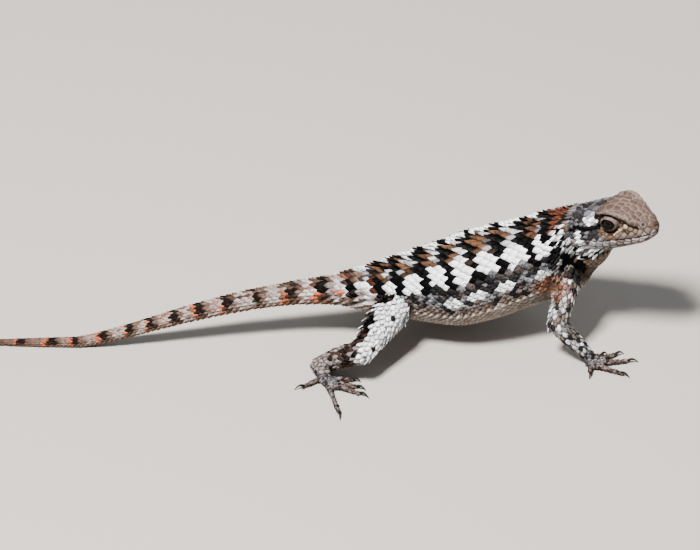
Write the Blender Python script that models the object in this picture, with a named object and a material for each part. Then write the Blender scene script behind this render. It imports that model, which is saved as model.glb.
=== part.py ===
"""Texas spiny lizard, standing alert on level ground, life size.

The animal is built from one loft for the trunk and tail, one for the head and one for each
length of limb. Every form is placed from the stations below, and keeled scales are set in
rows on the surfaces that carry them. Lengths are millimetres until the last step, which
turns them into metres. +X runs from the vent to the snout, +Z is up, and the right side of
the animal faces -Y.
"""
import math
import random

import bmesh
import bpy
from mathutils import Matrix, Vector

# Driving dimensions, in millimetres
SNOUT_TO_JOINT = 30.0
TAIL_LENGTH = 146.0
TAIL_ROOT_RADIUS = 4.05
TAIL_TIP_RADIUS = 0.45
TAIL_SWELL = 3.85
TAIL_SWELL_LENGTH = 7.0
TAIL_LANDING = 94.0
TAIL_SIDEWAYS = 6.9
TAIL_RETURN = 2.5
TAIL_DEPTH = 0.92
TAIL_SUNK = 0.08
VENT_HEIGHT = 17.8
GAP = 0.3
MILLIMETRE = 0.001

# Trunk stations from the head joint back to the vent: centre x, y, z, the yaw and pitch of
# the section, half its width, and its reach above and below the centre
TRUNK = [
    (68.6, 4.8, 34.1, -33.0, 23.0, 8.8, 10.6, 10.8),
    (66.0, 5.4, 32.0, -22.0, 22.0, 9.6, 11.2, 12.0),
    (63.0, 5.9, 30.0, -10.0, 20.0, 10.8, 11.8, 15.0),
    (59.5, 6.0, 28.0, 0.0, 18.0, 12.4, 12.4, 15.2),
    (55.0, 5.6, 26.2, 4.0, 17.0, 13.6, 12.0, 13.8),
    (46.3, 4.6, 23.4, 5.5, 16.0, 15.0, 12.0, 12.9),
    (36.5, 3.6, 20.6, 5.5, 15.0, 16.0, 12.1, 13.0),
    (26.7, 2.7, 17.9, 5.5, 10.0, 15.6, 11.1, 12.0),
    (17.1, 1.7, 17.4, 5.5, 3.0, 13.0, 9.3, 10.2),
    (8.9, 0.9, 17.4, 5.0, -1.0, 10.6, 7.7, 8.6),
    (0.0, 0.0, VENT_HEIGHT, 4.0, -1.0, 7.6, 5.8, 6.6),
]

# Head stations: distance behind the snout, half width, reach above and below the level of
# the snout, and how far the widest line drops below that level
HEAD = [
    (0.0, 2.2, 1.6, 2.2, 0.0),
    (1.2, 3.7, 3.1, 3.4, 0.0),
    (3.5, 5.0, 4.4, 4.2, 0.0),
    (7.0, 6.1, 5.9, 4.8, 0.0),
    (10.5, 7.2, 7.4, 5.2, 0.0),
    (14.0, 8.2, 8.6, 5.4, 0.0),
    (18.0, 9.1, 9.1, 5.8, 0.0),
    (22.0, 9.6, 8.9, 6.8, 0.2),
    (25.0, 9.6, 8.4, 9.6, 0.9),
    (27.5, 9.3, 8.0, 12.2, 2.0),
    (SNOUT_TO_JOINT, 8.8, 7.6, 13.8, 3.0),
]
EYE_BEHIND_SNOUT = 14.0
EYE_OUT = 5.3
EYE_UP = 4.6
EYE_RADIUS = 2.7
MOUTH_CORNER = 21.5
MOUTH_FRONT_DROP = 1.8
MOUTH_CORNER_RISE = 0.2

# Where the cuts between trunk lengths fall: at the shoulder, and along the tail
NECK_END_X = 60.5
TAIL_CUTS = (0.0, -48.0, -98.0)

# Limb joints for the near (right) side and the far (left) side
RIGHT_ARM = ((62.2, -4.0, 25.0), (58.7, -13.0, 12.4), (69.2, -16.6, 2.6))
LEFT_ARM = ((61.0, 15.5, 25.0), (52.0, 24.0, 15.5), (50.0, 27.6, 2.6))
RIGHT_LEG = ((8.9, -6.0, 17.0), (-3.2, -25.5, 10.8), (-17.0, -21.5, 3.2))
LEFT_LEG = ((8.9, 7.5, 17.0), (24.0, 25.0, 11.0), (11.0, 31.0, 3.2))
UPPER_ARM_RADII = (4.3, 3.8, 2.9)
FOREARM_RADII = (2.9, 2.7, 1.75)
THIGH_RADII = (6.2, 5.3, 3.7)
SHANK_RADII = (3.7, 3.6, 2.0)

# Digits: bearing of the root round the palm, bearing of the digit, its length and its
# claw's, all bearings from the way the hand or foot points, inwards positive
HAND_DIGITS = [
    (105.0, 33.0, 4.6, 2.2),
    (42.0, 27.0, 6.6, 2.9),
    (-15.0, 7.0, 9.0, 3.4),
    (-78.0, -28.0, 8.8, 3.4),
    (-140.0, -95.0, 4.4, 2.6),
]
FOOT_DIGITS = [
    (80.0, 52.0, 6.4, 2.6),
    (30.0, 38.0, 7.6, 3.2),
    (-10.0, 27.0, 10.4, 3.6),
    (-50.0, -25.0, 15.0, 4.0),
    (170.0, -98.0, 9.0, 3.4),
]
RIGHT_HAND = ((71.0, -17.6), 6.0)
LEFT_HAND = ((52.6, 28.2), 4.0)
RIGHT_FOOT = ((-13.6, -28.0), -50.0)
LEFT_FOOT = ((18.0, 34.0), 18.0)
DIGIT_RADIUS = 0.86
CLAW_RADIUS = 0.42
PALM_HEIGHT = 1.5

LOFT_SIDES = 22
TAIL_SIDES = 12
LIMB_SIDES = 12

# Keeled scales: how far apart the rows lie, and each scale's length, width and height
SEED = 11
BACK_SCALES = (5.0, 5.6, 4.7, 1.0)
NECK_SCALES = (4.4, 4.8, 3.6, 1.1)
TAIL_SCALES = (4.6, 4.4, 2.7, 0.85)
LIMB_SCALES = (3.9, 4.1, 3.1, 0.8)


def direction(yaw, pitch):
    """The unit vector that points along a yaw and a pitch given in degrees."""
    turn = math.radians(yaw)
    rise = math.radians(pitch)
    return Vector((math.cos(turn) * math.cos(rise), math.sin(turn) * math.cos(rise), math.sin(rise)))


def smoothstep(value):
    """Ease from 0 to 1."""
    value = min(max(value, 0.0), 1.0)
    return value * value * (3.0 - 2.0 * value)


def catmull(a, b, c, d, t):
    """Interpolate one number between b and c."""
    return 0.5 * (2 * b + (c - a) * t + (2 * a - 5 * b + 4 * c - d) * t * t
                  + (3 * b - a - 3 * c + d) * t ** 3)


def between(rows, place):
    """Read a table of stations at a fractional row."""
    last = len(rows) - 1
    place = min(max(place, 0.0), float(last))
    index = min(int(place), last - 1)
    picks = [rows[min(max(index + step, 0), last)] for step in (-1, 0, 1, 2)]
    return [catmull(*column, place - index) for column in zip(*picks)]


def tail_centre(x):
    """The tail sinks from the vent, meets the ground and sweeps a little to the right."""
    along = -x
    reach = min(along / TAIL_LANDING, 1.0)
    lift = (1.0 - reach ** 2.6) ** 1.5
    rest = tail_taper(x) * TAIL_DEPTH - TAIL_SUNK
    height = rest + (VENT_HEIGHT - tail_taper(0.0) * TAIL_DEPTH) * lift
    beyond = max(along - TAIL_LANDING, 0.0) / (TAIL_LENGTH - TAIL_LANDING)
    side = -TAIL_SIDEWAYS * smoothstep(reach) + TAIL_RETURN * beyond ** 2
    return Vector((x, side, height))


def tail_taper(x):
    """Half the tail's width where it tapers straight from its root to its tip."""
    share = -x / TAIL_LENGTH
    return TAIL_ROOT_RADIUS * (1.0 - share) + TAIL_TIP_RADIUS * share


def tail_radius(x):
    """Half the tail's width with the swelling that dies away behind the vent."""
    return tail_taper(x) + TAIL_SWELL * math.exp(x / TAIL_SWELL_LENGTH)


def tail_rows():
    """Stations along the tail in the same form as the trunk's."""
    rows = []
    spacing = 4.0
    count = int(TAIL_LENGTH / spacing)
    for step in range(1, count + 1):
        x = -TAIL_LENGTH * step / count
        ahead = tail_centre(min(x + 1.0, 0.0))
        behind = tail_centre(max(x - 1.0, -TAIL_LENGTH))
        way = (ahead - behind).normalized()
        yaw = math.degrees(math.atan2(way.y, way.x))
        pitch = math.degrees(math.asin(way.z))
        radius = tail_radius(x)
        centre = tail_centre(x)
        depth = radius * TAIL_DEPTH
        rows.append((centre.x, centre.y, centre.z, yaw, pitch, radius, depth, depth))
    return rows


SPINE = TRUNK + tail_rows()


def spine_place(x):
    """The fractional row whose centre has this x; x falls all the way along the spine."""
    low = 0.0
    high = float(len(SPINE) - 1)
    for _ in range(40):
        middle = 0.5 * (low + high)
        if between(SPINE, middle)[0] > x:
            low = middle
        else:
            high = middle
    return low


def spine_frame(place):
    """Centre, forward, left and up of the section at a fractional row, with its sizes."""
    x, y, z, yaw, pitch, half_width, above, below = between(SPINE, place)
    forward = direction(yaw, pitch)
    up = direction(yaw, pitch + 90.0)
    left = up.cross(forward)
    return Vector((x, y, z)), forward, left, up, half_width, above, below


def oval(angle, half_width, above, below, fullness=2.2):
    """A point on a rounded section; angle 0 is the left side and 90 degrees the top."""
    across = math.cos(angle)
    rise = math.sin(angle)
    power = 2.0 / fullness
    width = half_width * math.copysign(abs(across) ** power, across)
    reach = above if rise > 0 else below
    return width, reach * math.copysign(abs(rise) ** power, rise)


def spine_point(place, angle, grow=0.0):
    """A point on the trunk or tail at an angle round the section."""
    centre, _, left, up, half_width, above, below = spine_frame(place)
    width, height = oval(angle, half_width + grow, above + grow, below + grow)
    return centre + left * width + up * height


def ring_angles(sides):
    """Evenly spaced angles round a section."""
    return [2.0 * math.pi * side / sides for side in range(sides)]


def loft(name, rings):
    """Skin a row of rings into one closed body with flat ends."""
    bm = bmesh.new()
    loops = [[bm.verts.new(point) for point in ring] for ring in rings]
    sides = len(rings[0])
    for first, second in zip(loops, loops[1:]):
        for side in range(sides):
            following = (side + 1) % sides
            bm.faces.new((first[side], first[following], second[following], second[side]))
    bm.faces.new(list(reversed(loops[0])))
    bm.faces.new(loops[-1])
    bmesh.ops.recalc_face_normals(bm, faces=bm.faces)
    return finish_mesh(name, bm)


def finish_mesh(name, bm):
    """Turn a bmesh into an object in the scene."""
    mesh = bpy.data.meshes.new(name)
    bm.to_mesh(mesh)
    bm.free()
    body = bpy.data.objects.new(name, mesh)
    bpy.context.scene.collection.objects.link(body)
    return body


def spine_length(name, start_x, end_x, sides, spacing, grow=0.0):
    """Loft the trunk or tail between two stations."""
    start = spine_place(start_x)
    end = spine_place(end_x)
    steps = max(2, round((start_x - end_x) / spacing))
    rings = []
    for step in range(steps + 1):
        place = start + (end - start) * step / steps
        rings.append([spine_point(place, angle, grow) for angle in ring_angles(sides)])
    return loft(name, rings)


def head_axes():
    """Snout, forward, left and up of the head, set by the joint at the front of the neck."""
    joint, forward, left, up, _, _, _ = spine_frame(0.0)
    snout = joint + forward * SNOUT_TO_JOINT + up * HEAD[-1][4]
    return snout, forward, left, up


def head_point(behind, out, rise):
    """A point of the head from its distance behind the snout, out to the left, and up."""
    snout, forward, left, up = head_axes()
    return snout - forward * behind + left * out + up * rise


def head_ring(place, sides):
    """One section of the head."""
    behind, half_width, above, below, drop = between(HEAD, place)
    ring = []
    for angle in ring_angles(sides):
        out, rise = oval(angle, half_width, above + drop, below - drop)
        ring.append(head_point(behind, out, rise - drop))
    return ring


def combine(body, pieces, operation):
    """Join pieces to a body, or cut them from it, and remove them."""
    group = bpy.data.collections.new(body.name + "_pieces")
    bpy.context.scene.collection.children.link(group)
    for piece in pieces:
        bpy.context.scene.collection.objects.unlink(piece)
        group.objects.link(piece)
    change = body.modifiers.new("combine", "BOOLEAN")
    change.operation = operation
    change.solver = "EXACT"
    change.operand_type = "COLLECTION"
    change.collection = group
    bpy.context.view_layer.update()
    seen = body.evaluated_get(bpy.context.evaluated_depsgraph_get())
    result = bpy.data.meshes.new_from_object(seen)
    body.modifiers.clear()
    body.data = result
    for piece in list(group.objects):
        bpy.data.objects.remove(piece)
    bpy.data.collections.remove(group)
    keep_largest(body)
    return body


def keep_largest(body):
    """Keep the closed surface with the most faces, and drop any loose scrap."""
    bm = bmesh.new()
    bm.from_mesh(body.data)
    bmesh.ops.remove_doubles(bm, verts=bm.verts, dist=0.002)
    bmesh.ops.dissolve_degenerate(bm, edges=bm.edges, dist=0.002)
    unseen = set(bm.faces)
    groups = []
    while unseen:
        seed = unseen.pop()
        group = [seed]
        for face in group:
            for edge in face.edges:
                for other in edge.link_faces:
                    if other in unseen:
                        unseen.remove(other)
                        group.append(other)
        groups.append(group)
    groups.sort(key=len)
    scraps = [face for group in groups[:-1] for face in group]
    bmesh.ops.delete(bm, geom=scraps, context="FACES")
    bm.to_mesh(body.data)
    bm.free()


def ellipsoid(name, centre, axes, sizes, segments=16):
    """A ball stretched along three axes."""
    bm = bmesh.new()
    bmesh.ops.create_uvsphere(bm, u_segments=segments, v_segments=segments // 2, radius=1.0)
    turn = Matrix(axes).transposed().to_4x4()
    place = Matrix.Translation(centre) @ turn @ Matrix.Diagonal((*sizes, 1.0))
    bmesh.ops.transform(bm, matrix=place, verts=bm.verts)
    bmesh.ops.recalc_face_normals(bm, faces=bm.faces)
    return finish_mesh(name, bm)


def ground_block():
    """What lies below the ground, to cut flats on all that stands on it."""
    bm = bmesh.new()
    bmesh.ops.create_cube(bm, size=1.0)
    place = Matrix.Translation((-20.0, 0.0, -10.0)) @ Matrix.Diagonal((400.0, 200.0, 20.0, 1.0))
    bmesh.ops.transform(bm, matrix=place, verts=bm.verts)
    return finish_mesh("ground", bm)


def prism(name, outline, half_depth):
    """Extrude an outline of (behind, rise) pairs across the head."""
    bm = bmesh.new()
    near = [bm.verts.new(head_point(behind, -half_depth, rise)) for behind, rise in outline]
    face = bm.faces.new(near)
    swept = bmesh.ops.extrude_face_region(bm, geom=[face])
    moved = [item for item in swept["geom"] if isinstance(item, bmesh.types.BMVert)]
    across = head_point(0, half_depth, 0) - head_point(0, -half_depth, 0)
    bmesh.ops.translate(bm, vec=across, verts=moved)
    bmesh.ops.recalc_face_normals(bm, faces=bm.faces)
    return finish_mesh(name, bm)


def jaw_block(name, grow):
    """The space of the lower jaw: under the mouth line and in front of its corner."""
    front = -3.0
    floor = -12.0
    slope = (MOUTH_FRONT_DROP + MOUTH_CORNER_RISE) / MOUTH_CORNER
    outline = [
        (front, -MOUTH_FRONT_DROP + slope * front + grow),
        (MOUTH_CORNER + grow, MOUTH_CORNER_RISE + grow),
        (MOUTH_CORNER - 3.4 + grow, floor),
        (front, floor),
    ]
    return prism(name, outline, 14.0)


def eye_centre(side):
    """The middle of an eyeball; side is 1 on the left and -1 on the right."""
    return head_point(EYE_BEHIND_SNOUT, EYE_OUT * side, EYE_UP)


def eye_axes(side):
    """Forward, outward and up for an eye, turned a little forward and up."""
    _, forward, left, up = head_axes()
    outward = (left * side + forward * 0.16 + up * 0.18).normalized()
    ahead = (forward - outward * forward.dot(outward)).normalized()
    return ahead, outward, ahead.cross(outward) * side


def lid_ring(side):
    """The rolled lids round an eye."""
    ahead, outward, top = eye_axes(side)
    middle = eye_centre(side) + outward * 1.45
    rings = []
    for turn in ring_angles(16):
        spoke = ahead * (math.cos(turn) * 2.75) + top * (math.sin(turn) * 2.2)
        way = spoke.normalized()
        ring = []
        for angle in ring_angles(6):
            ring.append(middle + spoke + way * (0.62 * math.cos(angle)) + outward * (0.62 * math.sin(angle)))
        rings.append(ring)
    bm = bmesh.new()
    loops = [[bm.verts.new(point) for point in ring] for ring in rings]
    for index, first in enumerate(loops):
        second = loops[(index + 1) % len(loops)]
        for side_index in range(6):
            following = (side_index + 1) % 6
            bm.faces.new((first[side_index], first[following], second[following], second[side_index]))
    bmesh.ops.recalc_face_normals(bm, faces=bm.faces)
    return finish_mesh("lids", bm)


def head_features():
    """Brows, lids and cheeks that stand out from the plain head."""
    _, forward, left, up = head_axes()
    pieces = []
    for side in (1, -1):
        brow = head_point(12.6, 5.7 * side, 7.3)
        along = (forward - left * side * 0.14).normalized()
        pieces.append(ellipsoid("brow", brow, (along, up.cross(along), up), (5.2, 1.8, 1.5), 12))
        pieces.append(lid_ring(side))
    return pieces


def ear_guards():
    """Pointed scales that lean back over the front of each ear."""
    _, forward, left, up = head_axes()
    pieces = []
    for side in (1, -1):
        for index in range(4):
            spot = head_point(23.6 + 0.3 * index, (9.2 + 0.35 * index) * side, 3.6 - 1.7 * index)
            normal = (left * side + up * (0.5 - 0.15 * index)).normalized()
            back = (normal * normal.dot(forward) - forward).normalized()
            pieces.append(scale(spot, back, normal, 2.8, 1.8, 0.8))
    return pieces


def head_hollows():
    """Eye sockets, nostrils and the cups of the ears."""
    _, forward, left, up = head_axes()
    axes = (forward, left, up)
    pieces = []
    for side in (1, -1):
        socket = EYE_RADIUS + GAP
        pieces.append(ellipsoid("socket", eye_centre(side), eye_axes(side), (socket,) * 3, 16))
        pieces.append(ellipsoid("nostril", head_point(2.6, 3.5 * side, 2.6), axes, (0.6, 0.8, 0.5), 8))
        pieces.append(ellipsoid("ear", head_point(26.3, 9.6 * side, -0.6), axes, (1.3, 1.5, 2.1), 10))
    return pieces


def make_head():
    """The head with its lower jaw and eyes as separate bodies."""
    steps = 21
    last = len(HEAD) - 1.0
    end = last - GAP * 0.5 / (HEAD[-1][0] - HEAD[-2][0])
    rings = [head_ring(end * step / steps, LOFT_SIDES) for step in range(steps + 1)]
    head = loft("head", rings)
    combine(head, head_features() + ear_guards(), "UNION")
    combine(head, head_hollows(), "DIFFERENCE")
    jaw = head.copy()
    jaw.data = head.data.copy()
    jaw.name = "lower_jaw"
    bpy.context.scene.collection.objects.link(jaw)
    combine(jaw, [jaw_block("jaw_room", 0.0)], "INTERSECT")
    combine(head, [jaw_block("mouth_gap", GAP)], "DIFFERENCE")
    eyes = []
    for side, name in ((-1, "right_eye"), (1, "left_eye")):
        eyes.append(ellipsoid(name, eye_centre(side), eye_axes(side), (EYE_RADIUS,) * 3, 16))
    return [head, jaw] + eyes


def scale(point, back, normal, length, width, height):
    """One keeled scale: rooted under the skin, ridged, with a raised tip that points back."""
    side = normal.cross(back)
    bm = bmesh.new()
    corners = [
        point - back * (0.42 * length) - normal * (0.45 * height),
        point + side * (0.5 * width) - normal * (0.55 * height),
        point - side * (0.5 * width) - normal * (0.55 * height),
        point + back * (0.22 * length) - normal * (0.75 * height),
        point - back * (0.05 * length) + normal * (0.62 * height),
        point + back * (0.58 * length) + normal * height,
    ]
    verts = [bm.verts.new(corner) for corner in corners]
    bmesh.ops.convex_hull(bm, input=verts)
    bmesh.ops.recalc_face_normals(bm, faces=bm.faces)
    return finish_mesh("scale", bm)


def nearest_share(point, start, end):
    """Where a point falls along a segment, and how far from it."""
    along = end - start
    share = min(max((point - start).dot(along) / along.length_squared, 0.0), 1.0)
    return share, (point - start - along * share).length


def meets_limb(point, reach):
    """True where a scale on the trunk would run into the root of a limb."""
    roots = [(RIGHT_ARM, UPPER_ARM_RADII), (LEFT_ARM, UPPER_ARM_RADII),
             (RIGHT_LEG, THIGH_RADII), (LEFT_LEG, THIGH_RADII)]
    for joints, radii in roots:
        _, distance = nearest_share(point, Vector(joints[0]), Vector(joints[1]))
        if distance < radii[0] + reach:
            return True
    return False


def inside_length(first_x, last_x, point, back, length):
    """True where a scale stays between the two cuts that end its node."""
    start, start_forward = spine_frame(spine_place(first_x))[:2]
    stop, stop_forward = spine_frame(spine_place(last_x))[:2]
    root = point - back * (0.42 * length)
    tip = point + back * (0.6 * length)
    return (start - root).dot(start_forward) > GAP and (tip - stop).dot(stop_forward) > GAP


def spine_scales(first_x, last_x, sizes, widest, taper, draw):
    """Rows of scales across a length of trunk or tail, staggered row by row."""
    spacing, length, width, height = sizes
    pieces = []
    span = first_x - last_x - length * 1.02 - GAP * 2.0
    rows = max(1, round(span / spacing))
    for row in range(rows + 1):
        share = row / rows
        x = first_x - 0.42 * length - GAP - span * share
        size = 1.0 + (taper - 1.0) * share
        place = spine_place(x)
        _, _, _, _, half_width, above, _ = spine_frame(place)
        girth = math.pi * 0.5 * (half_width + above)
        count = max(2, int(girth * 2.0 * widest / 360.0 / (width * size * 1.02)))
        for index in range(count + row % 2):
            offset = index - 0.5 * (count - 1 + row % 2)
            angle = math.radians(90.0) + offset * math.radians(widest) / count
            point = spine_point(place, angle)
            back = (spine_point(place + 0.1, angle) - spine_point(place - 0.1, angle)).normalized()
            across = spine_point(place, angle + 0.05) - spine_point(place, angle - 0.05)
            normal = across.cross(back).normalized()
            grown = size * draw.uniform(0.93, 1.07)
            if meets_limb(point, 2.6) or meets_limb(point + back * length * 0.6, 1.6):
                continue
            if not inside_length(first_x, last_x, point, back, length * grown):
                continue
            pieces.append(scale(point, back, normal, length * grown, width * grown,
                                height * (0.5 + 0.5 * size) * draw.uniform(0.85, 1.15)))
    return pieces


def limb_frame(start, end):
    """Along, across and above for a straight length of limb."""
    along = (end - start).normalized()
    across = along.cross(Vector((0, 0, 1))).normalized()
    return along, across, across.cross(along)


def limb_rings(start, end, radii, grow=0.0, flat=0.9):
    """Sections of a limb that swell in the middle, with rounded ends past both joints."""
    along, across, above = limb_frame(start, end)
    length = (end - start).length
    first, middle, last = (radius + grow for radius in radii)
    rings = []
    for step in range(2):
        angle = math.radians(16 + 36 * step)
        rings.append((-first * math.cos(angle), first * math.sin(angle)))
    for step in range(6):
        share = step / 5
        straight = first + (last - first) * share
        bulge = (middle - 0.5 * (first + last)) * math.sin(math.pi * share)
        rings.append((length * share, straight + bulge))
    for step in range(2):
        angle = math.radians(52 - 36 * step)
        rings.append((length + last * math.cos(angle), last * math.sin(angle)))
    turns = ring_angles(LIMB_SIDES)
    sections = []
    for distance, radius in rings:
        centre = start + along * distance
        sections.append([centre + across * (radius * math.cos(turn)) + above * (radius * flat * math.sin(turn))
                         for turn in turns])
    return sections


def limb_scales(joints, radii, shares, turns, draw):
    """Scales round the outer side of one length of limb, pointing down it."""
    start, end = joints
    along, across, above = limb_frame(start, end)
    spacing, length, width, height = LIMB_SCALES
    reach = (end - start).length
    rows = max(1, int((shares[1] - shares[0]) * reach / spacing))
    pieces = []
    for row in range(rows):
        share = shares[0] + (shares[1] - shares[0]) * (row + 0.5) / rows
        straight = radii[0] + (radii[2] - radii[0]) * share
        radius = straight + (radii[1] - 0.5 * (radii[0] + radii[2])) * math.sin(math.pi * share)
        count = max(2, int(math.radians(turns[1] - turns[0]) * radius / (width * 1.02)))
        for index in range(count):
            shift = 0.5 + (0.25 if row % 2 else -0.25)
            turn = math.radians(turns[0] + (turns[1] - turns[0]) * (index + shift) / count)
            normal = across * math.cos(turn) + above * math.sin(turn)
            point = start + along * (reach * share) + normal * radius * (0.95 - 0.05 * abs(math.sin(turn)))
            size = draw.uniform(0.9, 1.1) * (0.8 + 0.2 * radius / radii[0])
            pieces.append(scale(point, along, normal, length * size, width * size, height * size))
    return pieces


def cut_plane(body, point, normal):
    """Trim a body flat and keep the side that the normal points away from."""
    bm = bmesh.new()
    bm.from_mesh(body.data)
    geometry = bm.verts[:] + bm.edges[:] + bm.faces[:]
    cut = bmesh.ops.bisect_plane(bm, geom=geometry, plane_co=point, plane_no=normal, clear_outer=True)
    rim = [item for item in cut["geom_cut"] if isinstance(item, bmesh.types.BMEdge)]
    bmesh.ops.contextual_create(bm, geom=rim)
    bmesh.ops.recalc_face_normals(bm, faces=bm.faces)
    bm.to_mesh(body.data)
    bm.free()
    return body


def trunk_clearance():
    """The trunk grown by the gap, to cut a limb's root to the surface that it meets."""
    return spine_length("clearance", SPINE[0][0] - 0.2, -12.0, LOFT_SIDES, 2.0, GAP)


def palm(name, place, length, width, grow=0.0):
    """The flattened pad that carries the digits."""
    (x, y), heading = place
    forward = direction(heading, 0.0)
    left = direction(heading + 90.0, 0.0)
    sizes = (length + grow, width + grow, PALM_HEIGHT + grow)
    return ellipsoid(name, Vector((x, y, PALM_HEIGHT * 0.72)), (forward, left, Vector((0, 0, 1))), sizes, 14)


def tube(name, centres, radii, sides=6):
    """A round tapering rod along a row of points."""
    rings = []
    for index, centre in enumerate(centres):
        ahead = centres[min(index + 1, len(centres) - 1)]
        behind = centres[max(index - 1, 0)]
        along = (ahead - behind).normalized()
        across = along.cross(Vector((0, 0, 1))).normalized()
        above = across.cross(along)
        rings.append([centre + (across * math.cos(turn) + above * math.sin(turn)) * radii[index]
                      for turn in ring_angles(sides)])
    return loft(name, rings)


def ankle(name, joint, radius, place, grow=0.0):
    """The short length that runs from a wrist or ankle down into the palm."""
    (x, y), _ = place
    sole = Vector((x, y, PALM_HEIGHT * 0.8))
    way = (sole - joint).normalized()
    centres = [joint - way * (0.55 * radius + grow), joint, joint.lerp(sole, 0.5), sole]
    radii = [radius * 0.62 + grow, radius * 0.98 + grow, radius * 0.9 + grow, PALM_HEIGHT * 0.8 + grow]
    return tube(name, centres, radii, 12)


def digit_pieces(place, reach, digits, mirror):
    """Toes or fingers that fan round a palm, each with its claw."""
    (x, y), heading = place
    pieces = []
    for index, (root, bearing, length, claw) in enumerate(digits):
        root_way = direction(heading + mirror * root, 0.0)
        way = direction(heading + mirror * bearing, 0.0)
        bend = direction(heading + mirror * (bearing - 12.0), 0.0)
        start = Vector((x, y, 1.1)) + root_way * reach - way * 0.8
        centres = []
        radii = []
        for step in range(4):
            share = step / 3
            arch = 0.45 * math.sin(math.pi * min(share * 1.6, 1.0))
            radius = DIGIT_RADIUS * (1.0 - 0.32 * share)
            centres.append(start + way * (length * share) + Vector((0, 0, arch - 0.4 * share)))
            radii.append(radius)
        pieces.append(tube("digit", centres, radii))
        tip = centres[-1]
        claw_centres = []
        claw_radii = []
        for step in range(4):
            share = step / 3
            drop = 0.35 * math.sin(math.pi * share * 0.6) - (tip.z - 0.16) * share ** 2
            claw_centres.append(tip + bend * (claw * (share - 0.12)) + Vector((0, 0, drop)))
            claw_radii.append(CLAW_RADIUS * (1.0 - share) + 0.12 * share)
        pieces.append(tube("claw", claw_centres, claw_radii, 5))
    return pieces


def make_limb(side, names, joints, radii, place, digits, palm_size, reach):
    """One leg or arm: root length, outer length, and the hand or foot."""
    start, bend, end = (Vector(joint) for joint in joints)
    draw = random.Random(side + names[0])
    turns = (-40.0, 170.0) if side == "right_" else (10.0, 220.0)
    first = loft(side + names[0], limb_rings(start, bend, radii[0]))
    second = loft(side + names[1], limb_rings(bend, end, radii[1]))
    way = ((bend - start).normalized() + (end - bend).normalized()).normalized()
    cut_plane(first, bend - way * GAP * 0.5, way)
    cut_plane(second, bend + way * GAP * 0.5, -way)
    combine(first, limb_scales((start, bend), radii[0], (0.46, 0.78), turns, draw), "UNION")
    combine(second, limb_scales((bend, end), radii[1], (0.28, 0.72), turns, draw), "UNION")
    combine(first, [trunk_clearance()], "DIFFERENCE")
    combine(second, [palm("clear", place, *palm_size, GAP)], "DIFFERENCE")
    combine(second, [ankle("clear", end, radii[1][2], place, GAP)], "DIFFERENCE")
    third = palm(side + names[2], place, *palm_size)
    mirror = 1.0 if side == "right_" else -1.0
    combine(third, [ankle("ankle", end, radii[1][2], place)], "UNION")
    combine(third, digit_pieces(place, reach, digits, mirror), "UNION")
    combine(third, [ground_block()], "DIFFERENCE")
    return [first, second, third]


def make_limbs():
    """The four limbs."""
    arm = ("upper_arm", "forearm", "hand")
    leg = ("thigh", "shank", "foot")
    arm_radii = (UPPER_ARM_RADII, FOREARM_RADII)
    leg_radii = (THIGH_RADII, SHANK_RADII)
    bodies = []
    bodies += make_limb("right_", arm, RIGHT_ARM, arm_radii, RIGHT_HAND, HAND_DIGITS, (3.4, 3.2), 2.6)
    bodies += make_limb("left_", arm, LEFT_ARM, arm_radii, LEFT_HAND, HAND_DIGITS, (3.4, 3.2), 2.6)
    bodies += make_limb("right_", leg, RIGHT_LEG, leg_radii, RIGHT_FOOT, FOOT_DIGITS, (5.0, 2.6), 2.6)
    bodies += make_limb("left_", leg, LEFT_LEG, leg_radii, LEFT_FOOT, FOOT_DIGITS, (5.0, 2.6), 2.6)
    return bodies


def make_trunk():
    """Neck, torso and three lengths of tail."""
    half = GAP * 0.5
    neck = spine_length("neck", SPINE[0][0] - half, NECK_END_X + half, LOFT_SIDES, 1.6)
    torso = spine_length("torso", NECK_END_X - half, TAIL_CUTS[0] + half, LOFT_SIDES, 3.0)
    base = spine_length("tail_base", TAIL_CUTS[0] - half, TAIL_CUTS[1] + half, TAIL_SIDES, 3.0)
    middle = spine_length("tail_middle", TAIL_CUTS[1] - half, TAIL_CUTS[2] + half, TAIL_SIDES, 3.5)
    tip = spine_length("tail_tip", TAIL_CUTS[2] - half, 0.2 - TAIL_LENGTH, TAIL_SIDES, 4.0)
    draw = random.Random(SEED)
    combine(neck, spine_scales(SPINE[0][0], NECK_END_X, NECK_SCALES, 210.0, 1.0, draw), "UNION")
    combine(torso, spine_scales(NECK_END_X, TAIL_CUTS[0], BACK_SCALES, 200.0, 0.9, draw), "UNION")
    combine(base, spine_scales(TAIL_CUTS[0], TAIL_CUTS[1], TAIL_SCALES, 230.0, 0.95, draw), "UNION")
    combine(middle, spine_scales(TAIL_CUTS[1], TAIL_CUTS[2], TAIL_SCALES, 200.0, 0.75, draw), "UNION")
    combine(tip, spine_scales(TAIL_CUTS[2], 6.0 - TAIL_LENGTH, TAIL_SCALES, 150.0, 0.5, draw), "UNION")
    for body in (middle, tip):
        combine(body, [ground_block()], "DIFFERENCE")
    return [neck, torso, base, middle, tip]


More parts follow.
